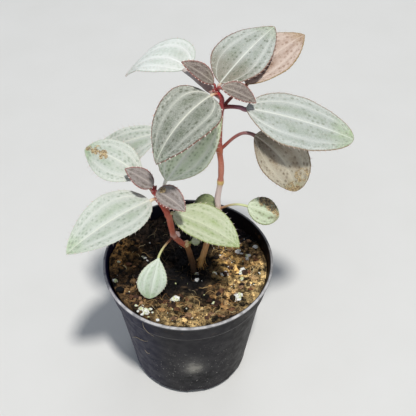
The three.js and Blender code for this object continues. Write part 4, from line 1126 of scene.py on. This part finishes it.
# (x, y, radius) of smaller perlite between the grains
PERLITE_SPECKS = (
    (-37.5, -13.4, 1.3), (-36.9, 0.0, 0.8), (-33.1, 22.1, 1.5), (-23.4, 5.7, 0.9), (-22.2, 4.6, 0.6),
    (-24.8, 6.9, 0.6), (-25.7, -30.2, 0.8), (-23.2, -31.2, 1.5), (-18.9, -30.8, 1.0), (-20.6, -33.1, 2.0),
    (-22.6, -28.7, 0.6), (-17.4, -32.6, 0.7), (-24.6, -33.4, 0.7), (-22.3, -35.2, 1.0), (-19.2, -36.0, 0.6),
    (-14.5, -38.4, 0.9), (-7.5, -37.3, 0.6), (2.4, -34.2, 0.6), (26.8, 11.8, 1.3), (28.6, 11.0, 0.9),
    (17.0, 9.2, 0.8), (21.2, 1.2, 0.5), (32.5, -13.4, 0.7), (37.6, -5.0, 0.7), (4.7, -4.4, 1.0),
    (3.6, -3.8, 0.6), (19.0, -4.0, 1.4), (21.0, -4.6, 1.0), (17.4, -3.6, 0.9), (14.2, -4.8, 1.2),
    (13.4, -5.8, 0.8), (36.2, 14.0, 1.4), (32.2, 8.9, 1.3), (13.1, -24.9, 0.6), (-0.7, -29.3, 0.5),
    (28.9, 0.4, 1.3), (28.4, -7.8, 1.1), (-6.0, -12.3, 0.6), (24.0, -12.0, 0.6),
)

# Fibres that cling to the outside of the pot: half thickness and places
CLINGING = {
    0.14: ((-30.7, -21.3, 39.6), (-29.2, -24.4, 44.4), (-27.6, -26.8, 47.6), (-25.2, -29.3, 49.0),
           (-22.9, -31.5, 50.8), (-21.0, -33.2, 53.4)),
    0.1: ((-22.0, -39.0, 78.2), (-22.1, -38.0, 74.0), (-21.8, -37.3, 70.6), (-20.2, -37.5, 67.4),
          (-17.3, -36.8, 62.6)),
    0.08: ((-23.7, -28.7, 38.6), (-22.6, -29.3, 37.0), (-20.9, -30.6, 37.5)),
}


def on_soil(x, y, lift=0.0):
    """Points at a height over the soil's surface, which has waves, clods and a rise beside the wall"""
    x, y = np.atleast_1d(x), np.atleast_1d(y)
    waves = np.sin(x * 0.31 + 1.3) * np.cos(y * 0.27 - 0.6) + 0.6 * np.sin(x * 0.83 - y * 0.61)
    level = SOIL_LEVEL + SOIL_TILT_X * x + SOIL_TILT_Y * y + SOIL_LUMP * waves / 1.6
    flat = np.stack([x, y, np.zeros_like(x)], axis=-1)
    clods = 0.9 * noise(flat, 9.0, 41, 2) + 1.1 * np.abs(noise(flat, 3.4, 42, 2))
    clods = clods + 0.55 * noise(flat, 1.3, 44, 2)
    reach = np.hypot(x, y)
    left = smoothstep(20, 40, reach) * smoothstep(-0.1, 0.9, -(0.94 * x + 0.34 * y) / 40)
    right = smoothstep(28, 41, reach) * smoothstep(0.2, 0.9, (0.94 * x - 0.34 * y) / 40)
    rise = RISE_LEFT * left + RISE_RIGHT * right + RISE_RING * smoothstep(30, 41, reach)
    return np.stack([x, y, level + clods - 0.35 + rise + lift], axis=-1)


def soil_tint(points):
    """Colour at soil points: the nearest zones blended, with their painted light and shade, broken up by
    noise and by painted shade in the gaps
    """
    flat = points * [1, 1, 0]
    x, y = [flat[..., axis] + 5 * noise(flat, 8.0, 51 + 5 * axis, 2) for axis in (0, 1)]
    base, total, weight = rgb("543e2a"), 0, 0
    for zone_x, zone_y, reach, code in SOIL_LIGHT_AND_SHADE_ZONES:
        share = np.exp(-2.2 * ((x - zone_x) ** 2 + (y - zone_y) ** 2) / reach ** 2)
        total = total + share[..., None] * rgb(code)
        weight = weight + share
    colour = (total + 0.02 * base) / (weight + 0.02)[..., None]
    blotch = 1 + 1.5 * noise(flat, 4.2, 60, 2) + 0.7 * noise(flat, 1.7, 62, 2)
    # painted shade: near-black gaps between the crumbs
    shaded_gaps = 1 - 4.0 * np.clip(-noise(flat, 2.3, 64, 2) - 0.08, 0, 1)
    colour[..., :3] *= (np.clip(blotch, 0.12, 2.1) * np.clip(shaded_gaps, 0.06, 1))[..., None]
    return colour


def fibre_shade(x, y):
    """Fibres darken with the soil's colour, taking the painted shadow of the partly moist middle"""
    glow = np.clip(soil_tint(on_soil(x, y))[:, :1] / 0.12, 0.1, 1.0)
    return np.concatenate([glow, glow, glow, np.ones_like(glow)], axis=1)


def strew(shape, rng, x, y, lift, tint, squash, sizes, rough, seed):
    """Coarse lumps lying on the soil"""
    squash = np.stack([rng.uniform(low, high, len(x)) for low, high in squash], axis=-1)
    lumps(shape, on_soil(x, y, lift), rng.uniform(*sizes, len(x)), 2, rough, seed, squash, tint=tint)


def picked(rng, count, codes):
    """One of the colours for each of a number of lumps"""
    return np.array([rgb(rng.choice(codes)) for _ in range(count)])


def build_soil():
    rings, segments, inset = 84, 300, WALL + 0.3
    angle = turns(segments)
    top = on_soil(*polar(np.linspace(0, SOIL_RADIUS, rings + 1)[1:, None], angle))
    side = [(COLLAR_FOOT_RADIUS - inset, COLLAR_FOOT_Z + 0.3), (STEP_RADIUS - inset, STEP_Z - WALL),
            (FOOT_RADIUS - inset, FOOT_ROUND + FLOOR + 0.3), (FOOT_RADIUS - FOOT_ROUND - 0.3, FLOOR + 0.3)]
    lower = [np.stack([*polar(r, angle), np.full(segments, z)], axis=-1) for r, z in side]
    points = np.concatenate([top, lower]).reshape(-1, 3)
    points = np.concatenate([points, on_soil(0.0, 0.0), [(0, 0, FLOOR + 0.3)]])
    shape = Shape()
    shape.add(points, closed_faces(rings + len(side), segments, flip=True), tint=soil_tint(points))
    dress(shape.build("soil_bed", [SOIL]), "soil", "soil")

    rng = np.random.default_rng(71)
    crumbs = Shape()
    for count, low, high, level, dark in CRUMBS:
        r = SOIL_RADIUS * 0.985 * np.sqrt(rng.random(count)) - high * 0.3
        x, y = polar(r, rng.uniform(0, 2 * math.pi, count))
        size = low + (high - low) * rng.random(count) ** 2
        spots = on_soil(x, y, size * 0.25)
        lit = np.where(rng.random(count) < 0.4, rng.uniform(0.12, 0.45, count), rng.uniform(0.9, 2.2, count))
        # crumbs take the soil's colour, with its painted light and shade
        tint = soil_tint(spots) * lit[:, None] * dark
        tint[:, 3] = 1
        squash = rng.uniform(0.55, 1.0, (count, 3)) * [1, 1, 0.8]
        lumps(crumbs, spots, size, level, 0.45, count, squash, tint=tint)
    angle = rng.uniform(-2.6, 1.1, CLOD_COUNT)
    x, y = polar(40 * np.sqrt(rng.uniform(0.25, 0.95, CLOD_COUNT)), angle)
    tint = picked(rng, CLOD_COUNT, ["7e583e", "b08a68", "463024", "c4a070", "281e1c"])
    strew(crumbs, rng, x, y, 0.2, tint, ((0.7, 1.3), (0.5, 0.9), (0.4, 0.7)), (0.9, 2.2), 0.55, 73)
    dress(crumbs.build("soil_crumbs", [SOIL]), "soil")
    build_fibres(rng)


def lying_fibre(rng, x, y):
    """A curled path over the soil that stays inside the pot"""
    turn, length, curl = rng.uniform(0, 2 * math.pi), rng.uniform(2.5, 9), rng.uniform(-0.25, 0.25)
    path, steps = [], 8
    for step in range(steps + 1):
        inside = min(1.0, FIBRE_LIMIT / math.hypot(x, y))
        x, y = x * inside, y * inside
        lift = 0.35 + 0.5 * math.sin(math.pi * step / steps) + rng.uniform(-0.1, 0.1)
        path.append(on_soil(x, y, lift)[0])
        turn += curl
        x, y = x + math.cos(turn) * length / steps, y + math.sin(turn) * length / steps
    return smooth_path(path, 2)


def build_fibres(rng):
    """Peat and straw fibres lying on the soil, bark flakes, and strands round the stems' feet"""
    fibres = Shape()
    spots = [(rng.uniform(-36, 36), rng.uniform(-36, 36)) for _ in range(230)]
    spots = [(x, y) for x, y in spots if math.hypot(x, y) < 37]
    spots += [(7 + rng.normal(0, 2.5), 1 + rng.normal(0, 3)) for _ in range(22)]
    for (left, right), (front, back), count in FIBRE_AREAS:
        spots += [(rng.uniform(left, right), rng.uniform(front, back)) for _ in range(count)]
    for x, y in spots:
        if math.hypot(x, y) > 39:
            continue
        path = lying_fibre(rng, x, y)
        radii = rng.uniform(0.06, 0.2) * (1 - 0.5 * np.linspace(0, 1, len(path)) ** 2)
        pick = rng.random()
        straw = "d8c496" if pick > 0.88 else "c8a670" if pick > 0.5 else "8a643c"
        tube(fibres, path, radii, 5, rgb(straw) * fibre_shade(x, y))
    r = 37 * np.sqrt(rng.random(FLAKE_COUNT))
    x, y = polar(r, rng.uniform(0, 2 * math.pi, FLAKE_COUNT))
    tint = picked(rng, FLAKE_COUNT, ["684228", "96683c", "462e22", "ac8454"]) * fibre_shade(x, y)
    strew(fibres, rng, x, y, 0.4, tint, ((0.8, 1.3), (0.4, 0.7), (0.2, 0.35)), (0.8, 1.9), 0.3, 77)
    for stem, root, radius, count, codes in (
            (TALL_STEM, TALL_STEM_ROOT, STEM_RADIUS, 20, ("eeb262", "a0703c", "ffd68c")),
            (OLD_STEM, OLD_STEM_ROOT, OLD_STEM_RADIUS, 9, ("785838", "463224", "b08254"))):
        path = np.concatenate([[root], smooth_path(stem, 14)])
        share = np.linspace(0, 1, 9)
        for number in range(count):
            turn, z = rng.uniform(0, 2 * math.pi), np.linspace(72.8, rng.uniform(77, 84.5), 9)
            out = radius + 0.1 + (rng.uniform(2.0, 4.4) - radius) * (1 - share) ** 2.2
            x, y = polar(out, turn + share * rng.uniform(-0.9, 0.9))
            stem_x, stem_y = [np.interp(z, path[:, 2], path[:, axis]) for axis in (0, 1)]
            strand = np.stack([stem_x + x, stem_y + y, z], axis=-1)
            tube(fibres, strand, np.linspace(0.2, 0.07, 9), 5, rgb(codes[number % 3]))
    for width, strand in CLINGING.items():
        path = smooth_path(strand, 5)
        radii = width * (1 - 0.6 * np.linspace(-1, 1, len(path)) ** 2)
        tube(fibres, path, radii, 5, rgb("c4b496"))
    dress(fibres.build("soil_fibres", [STRAW]), "soil")


def build_perlite():
    shape, specks = Shape(), Shape()
    grains = sorted(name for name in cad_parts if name.startswith("perlite_"))
    offsets = np.array([(-0.34, -0.2, 0.0), (0.36, 0.26, -0.1), (0.08, -0.3, 0.26), (-0.1, 0.34, 0.1)])
    for number, name in enumerate(grains):
        low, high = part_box(name)
        centre, size = np.array([(low + high) / 2]) / MM, np.array([(high - low) / 2]) / MM
        for part, offset in enumerate(offsets):
            lump = size * (0.74 - 0.05 * part)
            lumps(shape, centre + offset * size, lump, 2, 0.55, 200 + number * 4 + part, smooth=False)
    dress(shape.build("perlite_grains", [PERLITE]), "perlite", *grains)
    for x, y, size in PERLITE_SPECKS:
        seed = int(abs(x * 31 + y * 17))
        ahead = np.array([*polar(size, seed * 0.7), 0.0])
        for part in (-0.3, 0.25):
            spot, radius = on_soil(x, y, size * 0.3) + part * ahead, [size * (0.85 - 0.3 * part)]
            lumps(specks, spot, radius, 1, 0.6, seed + int(part > 0), (1.0, 0.8, 0.75), smooth=False)
    rng = np.random.default_rng(91)
    r = 38 * np.sqrt(rng.random(DUST_COUNT))
    spots = on_soil(*polar(r, rng.uniform(0, 2 * math.pi, DUST_COUNT)), 0.15)
    lumps(specks, spots, rng.uniform(0.16, 0.5, DUST_COUNT), 1, 0.35, 92)
    dress(specks.build("perlite_specks", [PERLITE]), "perlite")


# Studio

LAMP_TARGET = (0.005, 0.0, 0.13)


def build_floor():
    rows, columns, half, level = 25, 41, 900.0, -0.02
    x, y = np.linspace(-half, half, columns), np.linspace(-half, half, rows)
    shape, n = Shape(), Nodes("floor", 0.25)
    shape.add(np.stack(np.meshgrid(x, y, level), axis=-1), [grid_faces(rows, columns)])
    n.colour = n.mix(n.noise(40.0, 3.0), rgb("deddd9"), rgb("e4e3e0"))
    floor = shape.build("floor", [n.finish(0.75)])


def add_aimed(name, data, place, target):
    """A lamp or camera that looks at the target"""
    thing = bpy.data.objects.new(name, data)
    thing.location = place
    thing.rotation_euler = (Vector(place) - Vector(target)).to_track_quat("Z", "Y").to_euler()
    bpy.context.scene.collection.objects.link(thing)
    return thing


def build_studio():
    """A firm key from above and a little in front, and weak bluish light all round"""
    for name, place, size, power, colour in (
            ("key", (0.25, -0.80, 2.46), 0.22, 52.0, (1.0, 0.985, 0.955)),
            ("fill", (-0.5, -0.8, 0.6), 0.8, 1.6, (0.86, 0.92, 1.0)),
            ("back", (0.2, 0.8, 0.8), 0.6, 1.4, (0.95, 0.97, 1.0))):
        data = bpy.data.lights.new(name, "AREA")
        data.shape = "DISK"
        data.size = size
        data.energy = power
        data.color = colour
        add_aimed(name, data, place, LAMP_TARGET)
    world = bpy.data.worlds.new("studio")
    world.use_nodes = True
    world.node_tree.nodes["Background"].inputs["Color"].default_value = (0.74, 0.84, 1.0, 1)
    world.node_tree.nodes["Background"].inputs["Strength"].default_value = 0.24
    bpy.context.scene.world = world
    bpy.context.scene.view_settings.view_transform = "Standard"


def build_camera():
    target = Vector(CAMERA_TARGET) * MM
    rise = math.radians(CAMERA_ELEVATION)
    data = bpy.data.cameras.new("camera")
    data.sensor_width = SENSOR
    data.lens = FOCAL_PIXELS / FRAME_PIXELS * SENSOR
    place = target + Vector((0, -math.cos(rise), math.sin(rise))) * CAMERA_DISTANCE * MM
    bpy.context.scene.camera = add_aimed("camera", data, place, target)


for number, leaf in enumerate(LEAVES):
    build_leaf(leaf, number)
build_leaflets()
build_stems()
build_pot()
build_soil()
build_perlite()
build_floor()
build_studio()
build_camera()
